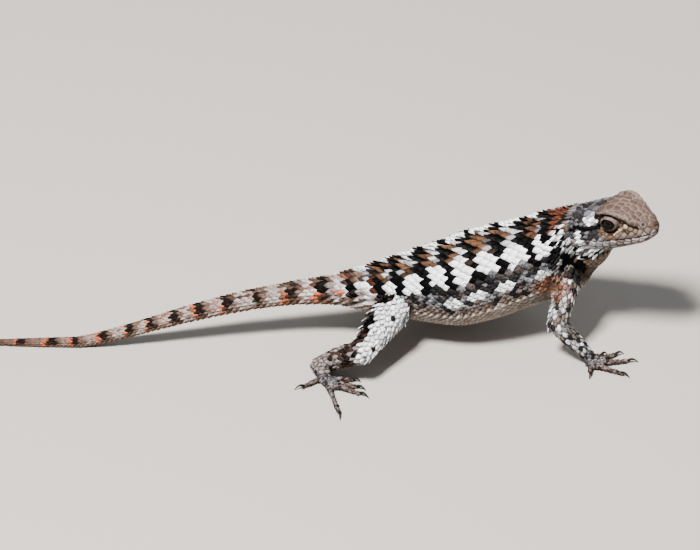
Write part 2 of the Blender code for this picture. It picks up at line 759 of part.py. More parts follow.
def paint(body):
    """Give a body its own material in the colour that it shows most."""
    colours = {
        "eye": (0.02, 0.015, 0.01), "head": (0.36, 0.30, 0.25), "jaw": (0.50, 0.44, 0.38),
        "neck": (0.38, 0.34, 0.31), "torso": (0.46, 0.42, 0.39), "tail": (0.44, 0.32, 0.26),
        "hand": (0.52, 0.45, 0.40), "foot": (0.52, 0.45, 0.40),
    }
    colour = (0.58, 0.56, 0.53)
    for word, shade in colours.items():
        if word in body.name:
            colour = shade
    material = bpy.data.materials.new(body.name + "_skin")
    material.use_nodes = True
    shader = material.node_tree.nodes["Principled BSDF"]
    shader.inputs["Base Color"].default_value = (*colour, 1.0)
    shader.inputs["Roughness"].default_value = 0.12 if "eye" in body.name else 0.62
    shader.inputs["Metallic"].default_value = 0.0
    body.data.materials.clear()
    body.data.materials.append(material)


def settle(bodies):
    """Put the middle of the footprint at the origin and turn millimetres into metres."""
    points = [vertex.co for body in bodies for vertex in body.data.vertices]
    middle_x = 0.5 * (min(point.x for point in points) + max(point.x for point in points))
    middle_y = 0.5 * (min(point.y for point in points) + max(point.y for point in points))
    lowest = min(point.z for point in points)
    place = Matrix.Scale(MILLIMETRE, 4) @ Matrix.Translation((-middle_x, -middle_y, -lowest))
    for body in bodies:
        body.data.transform(place)
        paint(body)
        body.data.shade_smooth()
        body.data.set_sharp_from_angle(angle=math.radians(35))


def main():
    """Build the whole animal."""
    for body in list(bpy.data.objects):
        bpy.data.objects.remove(body)
    bodies = make_trunk() + make_head() + make_limbs()
    settle(bodies)
    for body in bodies:
        body.data.calc_loop_triangles()
        print(body.name, len(body.data.loop_triangles))


main()
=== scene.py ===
# %% [markdown]
# # A Texas spiny lizard, scale by scale
# A spiny lizard is wrapped in keeled scales that overlap like roof shingles, and every scale carries
# one colour, so its bars and patches have jagged edges. The model is made the same way: one closed
# skin first, then a coat of small solid scales over it, and both read their colour from one pattern.

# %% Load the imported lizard
import itertools
import math
import random

import bmesh
import bpy
import numpy as np
from mathutils import Matrix, Vector, noise
from mathutils.bvhtree import BVHTree
from mathutils.kdtree import KDTree


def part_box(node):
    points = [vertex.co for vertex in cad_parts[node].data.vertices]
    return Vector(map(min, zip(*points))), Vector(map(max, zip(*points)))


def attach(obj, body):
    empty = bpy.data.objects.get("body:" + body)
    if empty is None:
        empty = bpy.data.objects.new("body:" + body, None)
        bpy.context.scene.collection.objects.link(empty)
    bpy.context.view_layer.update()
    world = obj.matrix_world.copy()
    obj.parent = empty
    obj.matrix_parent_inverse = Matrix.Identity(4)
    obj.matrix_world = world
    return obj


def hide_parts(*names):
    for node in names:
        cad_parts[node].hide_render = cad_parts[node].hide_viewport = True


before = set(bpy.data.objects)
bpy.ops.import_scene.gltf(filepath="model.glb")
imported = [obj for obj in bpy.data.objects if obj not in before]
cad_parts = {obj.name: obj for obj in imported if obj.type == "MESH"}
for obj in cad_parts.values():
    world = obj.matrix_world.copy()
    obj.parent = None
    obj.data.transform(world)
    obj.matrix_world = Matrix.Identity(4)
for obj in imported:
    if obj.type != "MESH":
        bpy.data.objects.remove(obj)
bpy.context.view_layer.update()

# %% [markdown]
# ## Stations of the body
# Lofted bodies are drawn from stations: a centre, the way the section faces, and its half width and
# reach above and below. The numbers are in millimetres, in a frame with the vent at x = 0, and the
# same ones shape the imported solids. A curve through the stations gives any section in between.

# %% Trunk and head stations
# Centre x, y, z, yaw and pitch in degrees, half width, reach above, reach below
TRUNK = [
    (68.6, 4.8, 34.1, -33.0, 23.0, 8.8, 10.6, 10.8),
    (66.0, 5.4, 32.0, -22.0, 22.0, 9.6, 11.2, 12.0),
    (63.0, 5.9, 30.0, -10.0, 20.0, 10.8, 11.8, 15.0),
    (59.5, 6.0, 28.0, 0.0, 18.0, 12.4, 12.4, 15.2),
    (55.0, 5.6, 26.2, 4.0, 17.0, 13.6, 12.0, 13.8),
    (46.3, 4.6, 23.4, 5.5, 16.0, 15.0, 12.0, 12.9),
    (36.5, 3.6, 20.6, 5.5, 15.0, 16.0, 12.1, 13.0),
    (26.7, 2.7, 17.9, 5.5, 10.0, 15.6, 11.1, 12.0),
    (17.1, 1.7, 17.4, 5.5, 3.0, 13.0, 9.3, 10.2),
    (8.9, 0.9, 17.4, 5.0, -1.0, 10.6, 7.7, 8.6),
    (0.0, 0.0, 17.8, 4.0, -1.0, 7.6, 5.8, 6.6),
]
# Distance behind the snout, half width, reach above, reach below, and how far the middle drops
HEAD = [
    (1.2, 1.4, 0.8, 1.9, 0.0),
    (2.5, 3.0, 2.0, 3.0, 0.0),
    (4.4, 4.6, 4.1, 4.1, 0.0),
    (6.4, 5.8, 5.8, 4.7, 0.0),
    (9.5, 6.9, 8.1, 5.1, 0.0),
    (13.0, 7.9, 9.2, 5.4, 0.0),
    (18.0, 9.1, 9.2, 5.8, 0.0),
    (22.0, 9.6, 8.9, 6.8, 0.2),
    (25.0, 9.6, 8.4, 9.6, 0.9),
    (27.5, 9.3, 8.0, 12.2, 2.0),
    (30.0, 8.8, 7.6, 13.8, 3.0),
]
TAIL_LENGTH = 146.0
TAIL_LANDING = 94.0


def smoothstep(value):
    value = min(max(value, 0.0), 1.0)
    return value * value * (3.0 - 2.0 * value)


def bell(value, width):
    """1 at zero, falling to next to nothing at twice the width."""
    return math.exp(-(value / width) ** 2)


def direction(yaw, pitch):
    turn = math.radians(yaw)
    rise = math.radians(pitch)
    return Vector((math.cos(turn) * math.cos(rise), math.sin(turn) * math.cos(rise), math.sin(rise)))


def between(rows, place):
    """Read a table of stations at a fractional row, on a smooth curve."""
    last = len(rows) - 1
    place = min(max(place, 0.0), float(last))
    index = min(int(place), last - 1)
    t = place - index
    picks = [rows[min(max(index + step, 0), last)] for step in (-1, 0, 1, 2)]
    return [0.5 * (2 * b + (c - a) * t + (2 * a - 5 * b + 4 * c - d) * t * t
                   + (3 * b - a - 3 * c + d) * t ** 3) for a, b, c, d in zip(*picks)]


print("stations of the trunk", len(TRUNK), "and of the head", len(HEAD))


# %% Tail stations
TAIL_RADII = (4.05, 0.45)
TAIL_FLATNESS = 0.92
VENT_HEIGHT = 17.8
TAIL_SINK = 0.08
TAIL_ROWS = 36


def tail_taper(x):
    share = -x / TAIL_LENGTH
    return TAIL_RADII[0] * (1.0 - share) + TAIL_RADII[1] * share


def tail_radius(x):
    """Half the tail's width: an even taper, and a swelling where it leaves the hips."""
    return tail_taper(x) + 3.85 * math.exp(x / 7.0)


def tail_centre(x):
    """The tail sinks from the vent, meets the ground and sweeps a little to the right."""
    reach = min(-x / TAIL_LANDING, 1.0)
    rest = tail_taper(x) * TAIL_FLATNESS - TAIL_SINK
    height = rest + (VENT_HEIGHT - tail_taper(0.0) * TAIL_FLATNESS) * (1.0 - reach ** 2.6) ** 1.5
    beyond = max(-x - TAIL_LANDING, 0.0) / (TAIL_LENGTH - TAIL_LANDING)
    return Vector((x, -6.9 * smoothstep(reach) + 2.5 * beyond ** 2, height))


def tail_row(x):
    way = (tail_centre(min(x + 1.0, 0.0)) - tail_centre(max(x - 1.0, -TAIL_LENGTH))).normalized()
    radius = tail_radius(x)
    depth = radius * TAIL_FLATNESS
    yaw = math.degrees(math.atan2(way.y, way.x))
    return (*tail_centre(x), yaw, math.degrees(math.asin(way.z)), radius, depth, depth)


SPINE = TRUNK + [tail_row(-TAIL_LENGTH * (step + 1) / TAIL_ROWS) for step in range(TAIL_ROWS)]
print("stations from neck to tail tip", len(SPINE))

# %% Sections of trunk and head
OVAL_POWER = 0.909


def spine_frame(place):
    x, y, z, yaw, pitch, half_width, above, below = between(SPINE, place)
    forward = direction(yaw, pitch)
    up = direction(yaw, pitch + 90.0)
    return Vector((x, y, z)), forward, up.cross(forward), up, half_width, above, below


def oval(turn, half_width, above, below, power=OVAL_POWER):
    """A point on a full, rounded section: turn 0 is the left side, a quarter turn the top."""
    across = math.cos(turn)
    rise = math.sin(turn)
    width = half_width * math.copysign(abs(across) ** power, across)
    return width, (above if rise > 0 else below) * math.copysign(abs(rise) ** power, rise)


def spine_point(place, turn, grow=0.0):
    centre, _, left, up, half_width, above, below = spine_frame(place)
    width, height = oval(turn, half_width + grow, above + grow, below + grow)
    return centre + left * width + up * height


def spine_place(x):
    """The fractional row whose centre has this x."""
    low = 0.0
    high = float(len(SPINE) - 1)
    for _ in range(30):
        middle = 0.5 * (low + high)
        if between(SPINE, middle)[0] > x:
            low = middle
        else:
            high = middle
    return low


JOINT, AHEAD, HEAD_LEFT, HEAD_UP = spine_frame(0.0)[:4]
SNOUT = JOINT + AHEAD * 30.0 + HEAD_UP * 3.0


def head_point(behind, out, rise):
    """A point of the head: behind the snout, out to the left, and above the snout's level."""
    return SNOUT - AHEAD * behind + HEAD_LEFT * out + HEAD_UP * rise


def head_reading(point):
    reach = point - SNOUT
    return -reach.dot(AHEAD), reach.dot(HEAD_LEFT), reach.dot(HEAD_UP)


def head_surface(place, turn, grow=0.0):
    behind, half_width, above, below, drop = between(HEAD, place)
    fullness = 0.64 + 0.2 * smoothstep((behind - 14.0) / 10.0)
    flat_top = fullness if math.sin(turn) > 0 else OVAL_POWER
    out, rise = oval(turn, half_width + grow, above + drop + grow, below - drop + grow, flat_top)
    return head_point(behind, out, rise - drop)


print("snout at", [round(v, 1) for v in SNOUT])


# %% [markdown]
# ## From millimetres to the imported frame
# The stations keep the vent at x = 0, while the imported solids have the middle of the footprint
# there, in metres. The right eye is known in both, so the step between the two frames is read from it.

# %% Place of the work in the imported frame
EYE_SPOT = (14.0, 5.3, 4.6)
EYE_RADIUS = 2.7


def eye_centre(side):
    return head_point(EYE_SPOT[0], EYE_SPOT[1] * side, EYE_SPOT[2])


low_corner, high_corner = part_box("right_eye")
eye_middle = (low_corner + high_corner) * 0.5
shift = eye_middle * 1000.0 - eye_centre(-1)
TO_FRAME = Matrix.Scale(0.001, 4) @ Matrix.Translation(shift)
print("shift in millimetres", [round(v, 3) for v in shift])


def new_object(name, data):
    thing = bpy.data.objects.new(name, data)
    bpy.context.scene.collection.objects.link(thing)
    return thing


def mesh_from(bm, name):
    mesh = bpy.data.meshes.new(name)
    bm.to_mesh(mesh)
    bm.free()
    return mesh


def new_material(name):
    material = bpy.data.materials.new(name)
    material.use_nodes = True
    return material, material.node_tree.nodes["Principled BSDF"]


def stand_on(spot, normal):
    """Turns a form that looks up along z to a normal, and sets it there."""
    return Matrix.Translation(spot) @ normal.to_track_quat("Z", "Y").to_matrix().to_4x4()


def finish_piece(name, mesh, material, replaced=(), sharp=None):
    """Smooth a mesh, put it into the frame and let it ride on the body as a piece."""
    mesh.polygons.foreach_set("use_smooth", [True] * len(mesh.polygons))
    if sharp is not None:
        mesh.set_sharp_from_angle(angle=math.radians(sharp))
    mesh.transform(TO_FRAME)
    mesh.materials.clear()
    mesh.materials.append(material)
    piece = new_object(name, mesh)
    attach(piece, "root")
    if replaced:
        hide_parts(*replaced)
    mesh.calc_loop_triangles()
    print(name, "triangles", len(mesh.loop_triangles))


# %% [markdown]
# ## Camera, floor and light
# The animal is seen from its right side and from above, and lines hardly converge. A long lens far
# away gives that view. The floor is plain and pale. A strong small light stands high on the near
# left for the sun, a weak broad one behind for the sky, and the world fills the shadows.

# %% Camera
VIEW_RISE = math.radians(35.5)
VIEW_WIDTH = 0.2222
LENS = 1200.0
SENSOR = 36.0
look = Vector((0.0, math.cos(VIEW_RISE), -math.sin(VIEW_RISE)))
aim = TO_FRAME @ Vector((-7.0, 3.7, 20.0))
camera_data = bpy.data.cameras.new("camera")
camera_data.lens = LENS
camera_data.sensor_width = SENSOR
camera_data.clip_end = 60.0
camera = new_object("camera", camera_data)
camera.location = aim - look * (VIEW_WIDTH * LENS / SENSOR)
camera.rotation_euler = look.to_track_quat("-Z", "Y").to_euler()
bpy.context.scene.camera = camera
print("camera stands off by", round((camera.location - aim).length, 3))


# %% Floor and lights
floor_bm = bmesh.new()
bmesh.ops.create_grid(floor_bm, x_segments=2, y_segments=2, size=25.0)
floor_mesh = mesh_from(floor_bm, "floor")
floor_material, floor_shader = new_material("pale_floor")
floor_shader.inputs["Base Color"].default_value = (0.3, 0.28, 0.26, 1.0)
floor_shader.inputs["Roughness"].default_value = 0.9
floor_mesh.materials.append(floor_material)
floor = new_object("floor", floor_mesh)


def soft_light(name, place, size, power, tint):
    data = bpy.data.lights.new(name, "AREA")
    data.size = size
    data.energy = power
    data.color = tint
    lamp = new_object(name, data)
    lamp.location = place
    lamp.rotation_euler = (aim - Vector(place)).to_track_quat("-Z", "Y").to_euler()


soft_light("sun_side", (-0.25, -0.45, 1.05), 0.22, 70.0, (1.0, 0.97, 0.93))
soft_light("sky_side", (0.9, 0.5, 0.8), 0.9, 6.0, (0.92, 0.96, 1.0))
world = bpy.data.worlds.new("pale_room")
world.use_nodes = True
sky = world.node_tree.nodes["Background"].inputs
sky["Color"].default_value = (0.95, 0.97, 1.0, 1.0)
sky["Strength"].default_value = 0.35
bpy.context.scene.world = world
print("lights set")

# %% [markdown]
# ## The skin
# Under the scales lies one closed skin. Each trunk, head, limb and toe is drawn by extruding a
# circle of edges from station to station, which keeps every ring in step. A voxel remesh then melts
# the overlapping tubes into one surface, as clay parts are pressed together, and smoothing softens
# the joins at shoulders and hips. It lies a little inside the solids, by the depth of the scales.


# %% Extrude a ring of edges along stations
def draw_tube(bm, count, sides, place_vertex):
    """A closed tube: place_vertex(ring, turn) says where a corner of a ring goes."""
    turn_layer = bm.verts.layers.float.get("turn")
    ring = bmesh.ops.create_circle(bm, segments=sides, radius=1.0)["verts"]
    for vert in ring:
        vert[turn_layer] = math.atan2(vert.co.y, vert.co.x)
        vert.co = place_vertex(0, vert[turn_layer])
    edges = list({edge for vert in ring for edge in vert.link_edges})
    first = edges
    for index in range(1, count):
        grown = bmesh.ops.extrude_edge_only(bm, edges=edges)["geom"]
        fresh = {item for item in grown if isinstance(item, bmesh.types.BMVert)}
        for vert in fresh:
            vert.co = place_vertex(index, vert[turn_layer])
        edges = [item for item in grown if isinstance(item, bmesh.types.BMEdge)
                 and fresh.issuperset(item.verts)]
    bmesh.ops.contextual_create(bm, geom=first)
    bmesh.ops.contextual_create(bm, geom=edges)


SKIN_DEPTH = 0.4
body_bm = bmesh.new()
body_bm.verts.layers.float.new("turn")
start_place = spine_place(68.5)
end_place = spine_place(-TAIL_LENGTH + 0.3)
SPINE_RINGS = 130
HEAD_RINGS = 60


def trunk_vertex(index, turn):
    share = index / (SPINE_RINGS - 1)
    place = start_place + (end_place - start_place) * (0.55 * share + 0.45 * share * share)
    thin = between(SPINE, place)[5]
    return spine_point(place, turn, -min(SKIN_DEPTH, 0.16 * thin))


draw_tube(body_bm, SPINE_RINGS, 40, trunk_vertex)
draw_tube(body_bm, HEAD_RINGS, 44,
          lambda index, turn: head_surface(10.0 * index / (HEAD_RINGS - 1), turn, -0.18))
print("trunk and head corners", len(body_bm.verts))

# %% Limbs
# Joints of each limb, its radii and where its hand or foot stands and points
LIMBS = {
    "right_arm": (((62.2, -4.0, 25.0), (58.7, -13.0, 12.4), (69.2, -16.6, 2.6)),
                  "arm", (71.0, -17.6, 6.0), 1.0),
    "left_arm": (((61.0, 15.5, 25.0), (52.0, 24.0, 15.5), (50.0, 27.6, 2.6)),
                 "arm", (52.6, 28.2, 4.0), -1.0),
    "right_leg": (((8.9, -6.0, 17.0), (-3.2, -25.5, 10.8), (-17.0, -21.5, 3.2)),
                  "leg", (-13.6, -28.0, -50.0), 1.0),
    "left_leg": (((8.9, 7.5, 17.0), (24.0, 25.0, 11.0), (11.0, 31.0, 3.2)),
                 "leg", (18.0, 34.0, 18.0), -1.0),
}
RADII = {"arm": ((4.6, 4.1, 3.3), (3.3, 3.1, 2.1)), "leg": ((6.4, 5.6, 4.0), (4.0, 4.1, 2.7))}
PALMS = {"arm": (3.4, 3.2), "leg": (5.0, 2.6)}


def limb_axes(start, end):
    along = (end - start).normalized()
    across = along.cross(Vector((0, 0, 1))).normalized()
    return along, across, across.cross(along)


def limb_length(bm, start, end, radii, grow):
    """One length of limb, swelling in the middle, with round ends past both joints."""
    along, across, above = limb_axes(start, end)
    reach = (end - start).length
    first, middle, last = (radius + grow for radius in radii)
    stations = [(-first * math.cos(math.radians(turn)), first * math.sin(math.radians(turn)))
                for turn in (8, 30, 52, 72)]
    for step in range(9):
        share = step / 8
        swell = (middle - 0.5 * (first + last)) * math.sin(math.pi * share)
        stations.append((reach * share, first + (last - first) * share + swell))
    stations += [(reach + last * math.cos(math.radians(turn)), last * math.sin(math.radians(turn)))
                 for turn in (66, 40, 12)]

    def corner(index, turn):
        distance, radius = stations[index]
        outward = across * math.cos(turn) + above * (0.9 * math.sin(turn))
        return start + along * distance + outward * radius

    draw_tube(bm, len(stations), 24, corner)


for joints, kind, _, _ in LIMBS.values():
    shoulder, elbow, wrist = (Vector(joint) for joint in joints)
    limb_length(body_bm, shoulder, elbow, RADII[kind][0], -0.35)
    limb_length(body_bm, elbow, wrist, RADII[kind][1], -0.3)
print("corners with limbs", len(body_bm.verts))

# %% Palms, wrists and toes
# Where each digit leaves the palm and where it points, in degrees, its length and its claw's
HAND_DIGITS = [
    (105.0, 33.0, 4.6, 2.2), (42.0, 27.0, 6.6, 2.9), (-15.0, 7.0, 9.0, 3.4),
    (-78.0, -28.0, 8.8, 3.4), (-140.0, -95.0, 4.4, 2.6),
]
FOOT_DIGITS = [
    (80.0, 52.0, 6.4, 2.6), (30.0, 38.0, 7.6, 3.2), (-10.0, 27.0, 10.4, 3.6),
    (-50.0, -25.0, 15.0, 4.0), (170.0, -98.0, 9.0, 3.4),
]
TOE_RADIUS = 1.02


def rod(bm, centres, radii, sides=10):
    def corner(index, turn):
        ahead = centres[min(index + 1, len(centres) - 1)]
        behind = centres[max(index - 1, 0)]
        _, across, above = limb_axes(behind, ahead)
        return centres[index] + (across * math.cos(turn) + above * math.sin(turn)) * radii[index]

    draw_tube(bm, len(centres), sides, corner)


def toe_line(place, digit, mirror):
    """The middle line of a toe and the claw that follows it."""
    x, y, heading = place
    root, bearing, length, claw = digit
    way = direction(heading + mirror * bearing, 0.0)
    bend = direction(heading + mirror * (bearing - 12.0), 0.0)
    start = Vector((x, y, 1.1)) + direction(heading + mirror * root, 0.0) * 2.6 - way * 0.8
    toe = []
    for step in range(9):
        share = step / 8
        arch = 0.45 * math.sin(math.pi * min(share * 1.6, 1.0))
        toe.append(start + way * (length * share) + Vector((0, 0, arch - 0.4 * share)))
    tip = toe[-1]
    nail = []
    for step in range(9):
        share = step / 8
        drop = 0.95 * math.sin(math.pi * share) ** 0.8 * (1.0 - 0.3 * share) - (tip.z - 0.1) * share ** 2
        nail.append(tip + bend * (claw * (share - 0.12)) + Vector((0, 0, drop)))
    return toe, nail


print("digits of a hand", len(HAND_DIGITS), "and of a foot", len(FOOT_DIGITS))

# %% Brow ridges, palms and toes of the body
# A ridge runs over each eye and down to the nose
RIDGE = [(19.5, 6.2, 7.2), (16.5, 6.4, 8.0), (13.5, 6.5, 8.3), (11.0, 6.2, 7.9), (9.0, 5.5, 6.6),
         (7.0, 4.8, 4.9), (5.4, 4.0, 3.6), (4.0, 3.0, 2.6)]
RIDGE_RADII = [0.7, 1.15, 1.35, 1.3, 1.05, 0.85, 0.65, 0.45]
for side in (1, -1):
    rod(body_bm, [head_point(d, o * side, h) for d, o, h in RIDGE], RIDGE_RADII, 14)

TOES = []
for limb, (joints, kind, place, mirror) in LIMBS.items():
    x, y, heading = place
    wrist = Vector(joints[2])
    sole = Vector((x, y, 1.2))
    wrist_radius = RADII[kind][1][2] - 0.2
    rod(body_bm, [wrist.lerp(sole, share) for share in (0.0, 0.33, 0.66, 1.0)],
        [wrist_radius, wrist_radius * 0.97, wrist_radius * 0.9, 1.3], 16)
    length, width = PALMS[kind]
    turn = Matrix.Translation((x, y, 1.08)) @ Matrix.Rotation(math.radians(heading), 4, "Z")
    pad = turn @ Matrix.Diagonal((length - 0.2, width - 0.2, 1.7, 1.0))
    bmesh.ops.create_uvsphere(body_bm, u_segments=20, v_segments=12, radius=1.0, matrix=pad)
    for digit in (HAND_DIGITS if kind == "arm" else FOOT_DIGITS):
        toe, nail = toe_line(place, digit, mirror)
        TOES.append((limb, toe, nail))
        radii = [(TOE_RADIUS - 0.1) * (1.0 - 0.22 * index / 8) for index in range(9)]
        rod(body_bm, toe, radii, 10)
print("toes", len(TOES))

# %% [markdown]
# ## One surface by voxel remesh
# The Remesh modifier samples the tubes on a fine grid and returns one even surface. It also rounds
# away what is smaller than a voxel, so fine forms such as lids come after it. The head is divided
# once more, because that is where the eye looks first. Soles and tail are pressed flat on the ground.


# %% Remesh and smooth
GROUND = 0.06
bmesh.ops.recalc_face_normals(body_bm, faces=body_bm.faces)
rough_body = new_object("rough_body", mesh_from(body_bm, "rough_body"))
melt = rough_body.modifiers.new("melt", "REMESH")
melt.mode = "VOXEL"
melt.voxel_size = 0.5
bpy.context.view_layer.update()
melted = rough_body.evaluated_get(bpy.context.evaluated_depsgraph_get())
skin_mesh = bpy.data.meshes.new_from_object(melted)
bpy.data.objects.remove(rough_body)

skin_bm = bmesh.new()
skin_bm.from_mesh(skin_mesh)
for _ in range(4):
    bmesh.ops.smooth_vert(skin_bm, verts=skin_bm.verts, factor=0.5,
                          use_axis_x=True, use_axis_y=True, use_axis_z=True)
for vert in skin_bm.verts:
    vert.co.z = max(vert.co.z, GROUND)
head_faces = []
for face in skin_bm.faces:
    behind, _, rise = head_reading(face.calc_center_median())
    if behind < 22.0 and rise > -7.0:
        head_faces.append(face)
head_edges = list({edge for face in head_faces for edge in face.edges})
bmesh.ops.subdivide_edges(skin_bm, edges=head_edges, cuts=1, use_grid_fill=True, smooth=0.4)
bmesh.ops.triangulate(skin_bm, faces=[face for face in skin_bm.faces if len(face.verts) > 4])
skin_bm.normal_update()
print("skin faces", len(skin_bm.faces), "head faces", len(head_faces))


# %% [markdown]
# ## Eyelids, brow, mouth and ear
# The lids of a lizard wrap tightly over the ball of the eye and leave an almond opening. Points of
# the skin near the eye are moved onto a slightly larger ball, and inside the opening they are pushed
# under it. The brow ridge, lip line, ear cup and folds are moves along the surface's own normal.

# %% Sculpt the head
def eye_axes(side):
    outward = (HEAD_LEFT * side + AHEAD * 0.16 + HEAD_UP * 0.18).normalized()
    level = (AHEAD - outward * AHEAD.dot(outward)).normalized()
    top = level.cross(outward) * side
    slant = math.radians(16.0)
    ahead = level * math.cos(slant) - top * math.sin(slant)
    return ahead, outward, top * math.cos(slant) + level * math.sin(slant)


LID_HALF_LENGTH = 2.3
LID_HALF_HEIGHT = 1.68
LID_SHIFT = 0.1
LID_RIM = 1.5
SOCKET_RADIUS = 2.35


def eye_reading(point, side):
    """How far a point lies ahead, above and outside of the middle of the eye's opening."""
    ahead, outward, top = eye_axes(side)
    reach = point - eye_centre(side)
    return reach.dot(ahead), reach.dot(top) - LID_SHIFT, reach.dot(outward)


def lid_reach(point, side):
    """1 on the edge of the eye's opening, less inside it and more outside; 9 on the inner side."""
    a, b, e = eye_reading(point, side)
    return 9.0 if e < 0.0 else math.hypot(a / LID_HALF_LENGTH, b / LID_HALF_HEIGHT)


def wrap_lids(point, side):
    """Lay a point of the skin over the eyeball, or under it inside the opening."""
    a, b, e = eye_reading(point, side)
    if e < 0.0 or abs(a) > 6.0 or abs(b) > 6.0:
        return point
    rho = math.hypot(a / LID_HALF_LENGTH, b / LID_HALF_HEIGHT)
    if 0.86 < rho < 1.14:
        a /= rho
        b /= rho
        rho = 1.0
    spread = a * a + b * b
    if rho < 0.999:
        target = math.sqrt(max(SOCKET_RADIUS ** 2 - spread, 0.0))
        share = 1.0
    else:
        roll = 0.42 * bell(rho - 1.12, 0.22) - 0.22 * bell(rho - 1.62, 0.16)
        target = math.sqrt(max((EYE_RADIUS + 0.3 + roll) ** 2 - spread, 0.0))
        share = 1.0 - smoothstep((rho - 1.55) / 0.75)
    ahead, outward, top = eye_axes(side)
    return eye_centre(side) + ahead * a + top * (b + LID_SHIFT) + outward * (e + (target - e) * share)


def near_line(point, line):
    """Distance from a point to a broken line, and the share of the line passed there."""
    best = (1e9, 0.0)
    for index in range(len(line) - 1):
        along = line[index + 1] - line[index]
        share = min(max((point - line[index]).dot(along) / along.length_squared, 0.0), 1.0)
        distance = (point - line[index] - along * share).length
        if distance < best[0]:
            best = (distance, (index + share) / (len(line) - 1))
    return best


MOUTH_LENGTH = 21.5


def mouth_level(behind):
    return -1.8 + 2.0 * behind / MOUTH_LENGTH


def side_of(out):
    return 1.0 if out > 0 else -1.0


def oval_reach(x, y, middle, halves):
    """Less than 1 inside an oval on a flat map, more outside it."""
    return math.hypot((x - middle[0]) / halves[0], (y - middle[1]) / halves[1])


def flat_gap(x, y, line):
    """Distance from a place on a flat map to a broken line drawn there."""
    return near_line(Vector((x, y, 0.0)), [Vector((a, b, 0.0)) for a, b in line])[0]


# Points of the ridge that parts the top of the head from its side: behind, out and rise
CANTHUS = [(19.4, 6.9, 9.0), (17.2, 7.4, 8.5), (14.8, 7.6, 8.0), (11.6, 7.1, 7.7), (9.6, 6.3, 6.0),
           (7.3, 5.6, 3.6), (5.4, 5.2, 2.4), (3.6, 4.4, 1.4)]
# The middle of the ear, behind the snout and above its level
EAR = (26.3, -0.6)
rough_tree = BVHTree.FromBMesh(skin_bm)


def canthus_level(behind):
    distances, _, levels = zip(*CANTHUS[::-1])
    return float(np.interp(behind, distances, levels))


def line_on_skin(line, side):
    """A line told in the head's terms, laid on the skin and drawn with short steps."""
    points = [head_point(d, o * side, h) for d, o, h in line]
    steps = [a.lerp(b, share / 4) for a, b in zip(points, points[1:]) for share in range(4)]
    return [rough_tree.find_nearest(point)[0] for point in steps + points[-1:]]


BROW_LINES = {side: line_on_skin(CANTHUS, side) for side in (1.0, -1.0)}


def brow_line_gap(point, side):
    return near_line(point, BROW_LINES[side])[0]


def head_push(point, side, behind, out, rise):
    """How far the plain head moves out along its normal at a point."""
    push = 0.0
    if 3.0 < behind < 20.0:
        push -= 0.5 * bell(brow_line_gap(point, side), 0.45)
    lip = rise - mouth_level(behind)
    if behind < 22.0:
        fade = 1.0 - smoothstep((behind - 20.0) / 2.0)
        push -= 0.5 * bell(lip, 0.26) * fade
        push += 0.22 * bell(abs(lip) - 1.1, 0.8) * fade
    if abs(out) > 6.0:
        push -= 1.1 * (1.0 - smoothstep((oval_reach(behind, rise, EAR, (1.5, 2.3)) - 0.55) / 0.5))
    return push


moved = 0
for vert in skin_bm.verts:
    behind, out, rise = head_reading(vert.co)
    if behind > 31.0 or behind < -1.0:
        continue
    side = side_of(out)
    vert.co += vert.normal * head_push(vert.co, side, behind, out, rise)
    if 7.0 < behind < 21.0:
        vert.co = wrap_lids(vert.co, side)
    moved += 1
print("points sculpted", moved)

# %% [markdown]
# ## Folds of the body
# Loose skin folds where a limb leaves the body: a deep hollow behind the arm, a crease in front of
# the thigh, and slack folds on the side of the neck. They are soft dents along short lines.

# %% Sculpt the folds
HOLLOW_BEHIND_ARM = Vector((58.0, -9.0, 24.6))
# Two ends of each fold, its width and its depth
FOLDS = [
    ((57.6, -8.4, 26.5), (56.9, -10.5, 19.0), 1.5, 1.3),
    ((55.0, 17.5, 24.0), (53.5, 18.0, 19.0), 1.5, 1.3),
    ((14.5, -10.0, 19.5), (11.0, -13.0, 14.5), 1.2, 0.8),
    ((2.5, -9.0, 18.5), (0.0, -12.0, 15.0), 1.2, 0.8),
    ((65.5, -5.0, 33.0), (66.5, -5.5, 24.0), 1.3, 0.7),
    ((71.0, 13.5, 36.0), (70.0, 14.5, 28.0), 1.3, 0.7),
]
fold_lines = [([Vector(start), Vector(end)], width, depth) for start, end, width, depth in FOLDS]
for vert in skin_bm.verts:
    for line, width, depth in fold_lines:
        if (vert.co - line[0]).length < 12.0:
            vert.co -= vert.normal * (depth * bell(near_line(vert.co, line)[0], width))
skin_bm.normal_update()
skin_tree = BVHTree.FromBMesh(skin_bm)
print("folds", len(FOLDS))


# %% [markdown]
# ## Where a point is on the animal
# The pattern runs along and around the body, so each point is told in the body's own terms: the
# station along the spine, and the lean, its angle from the ridge of the back. Limbs have their own:
# the share of the way down, and the turn about their length.

# %% Read stations for many points
TABLE_STEPS = 420
table = [spine_frame((len(SPINE) - 1) * step / (TABLE_STEPS - 1)) for step in range(TABLE_STEPS)]
table_centre, table_forward, table_left, table_up = (
    np.array([row[part] for row in table]) for part in range(4))
table_size = np.array([row[4:] for row in table])


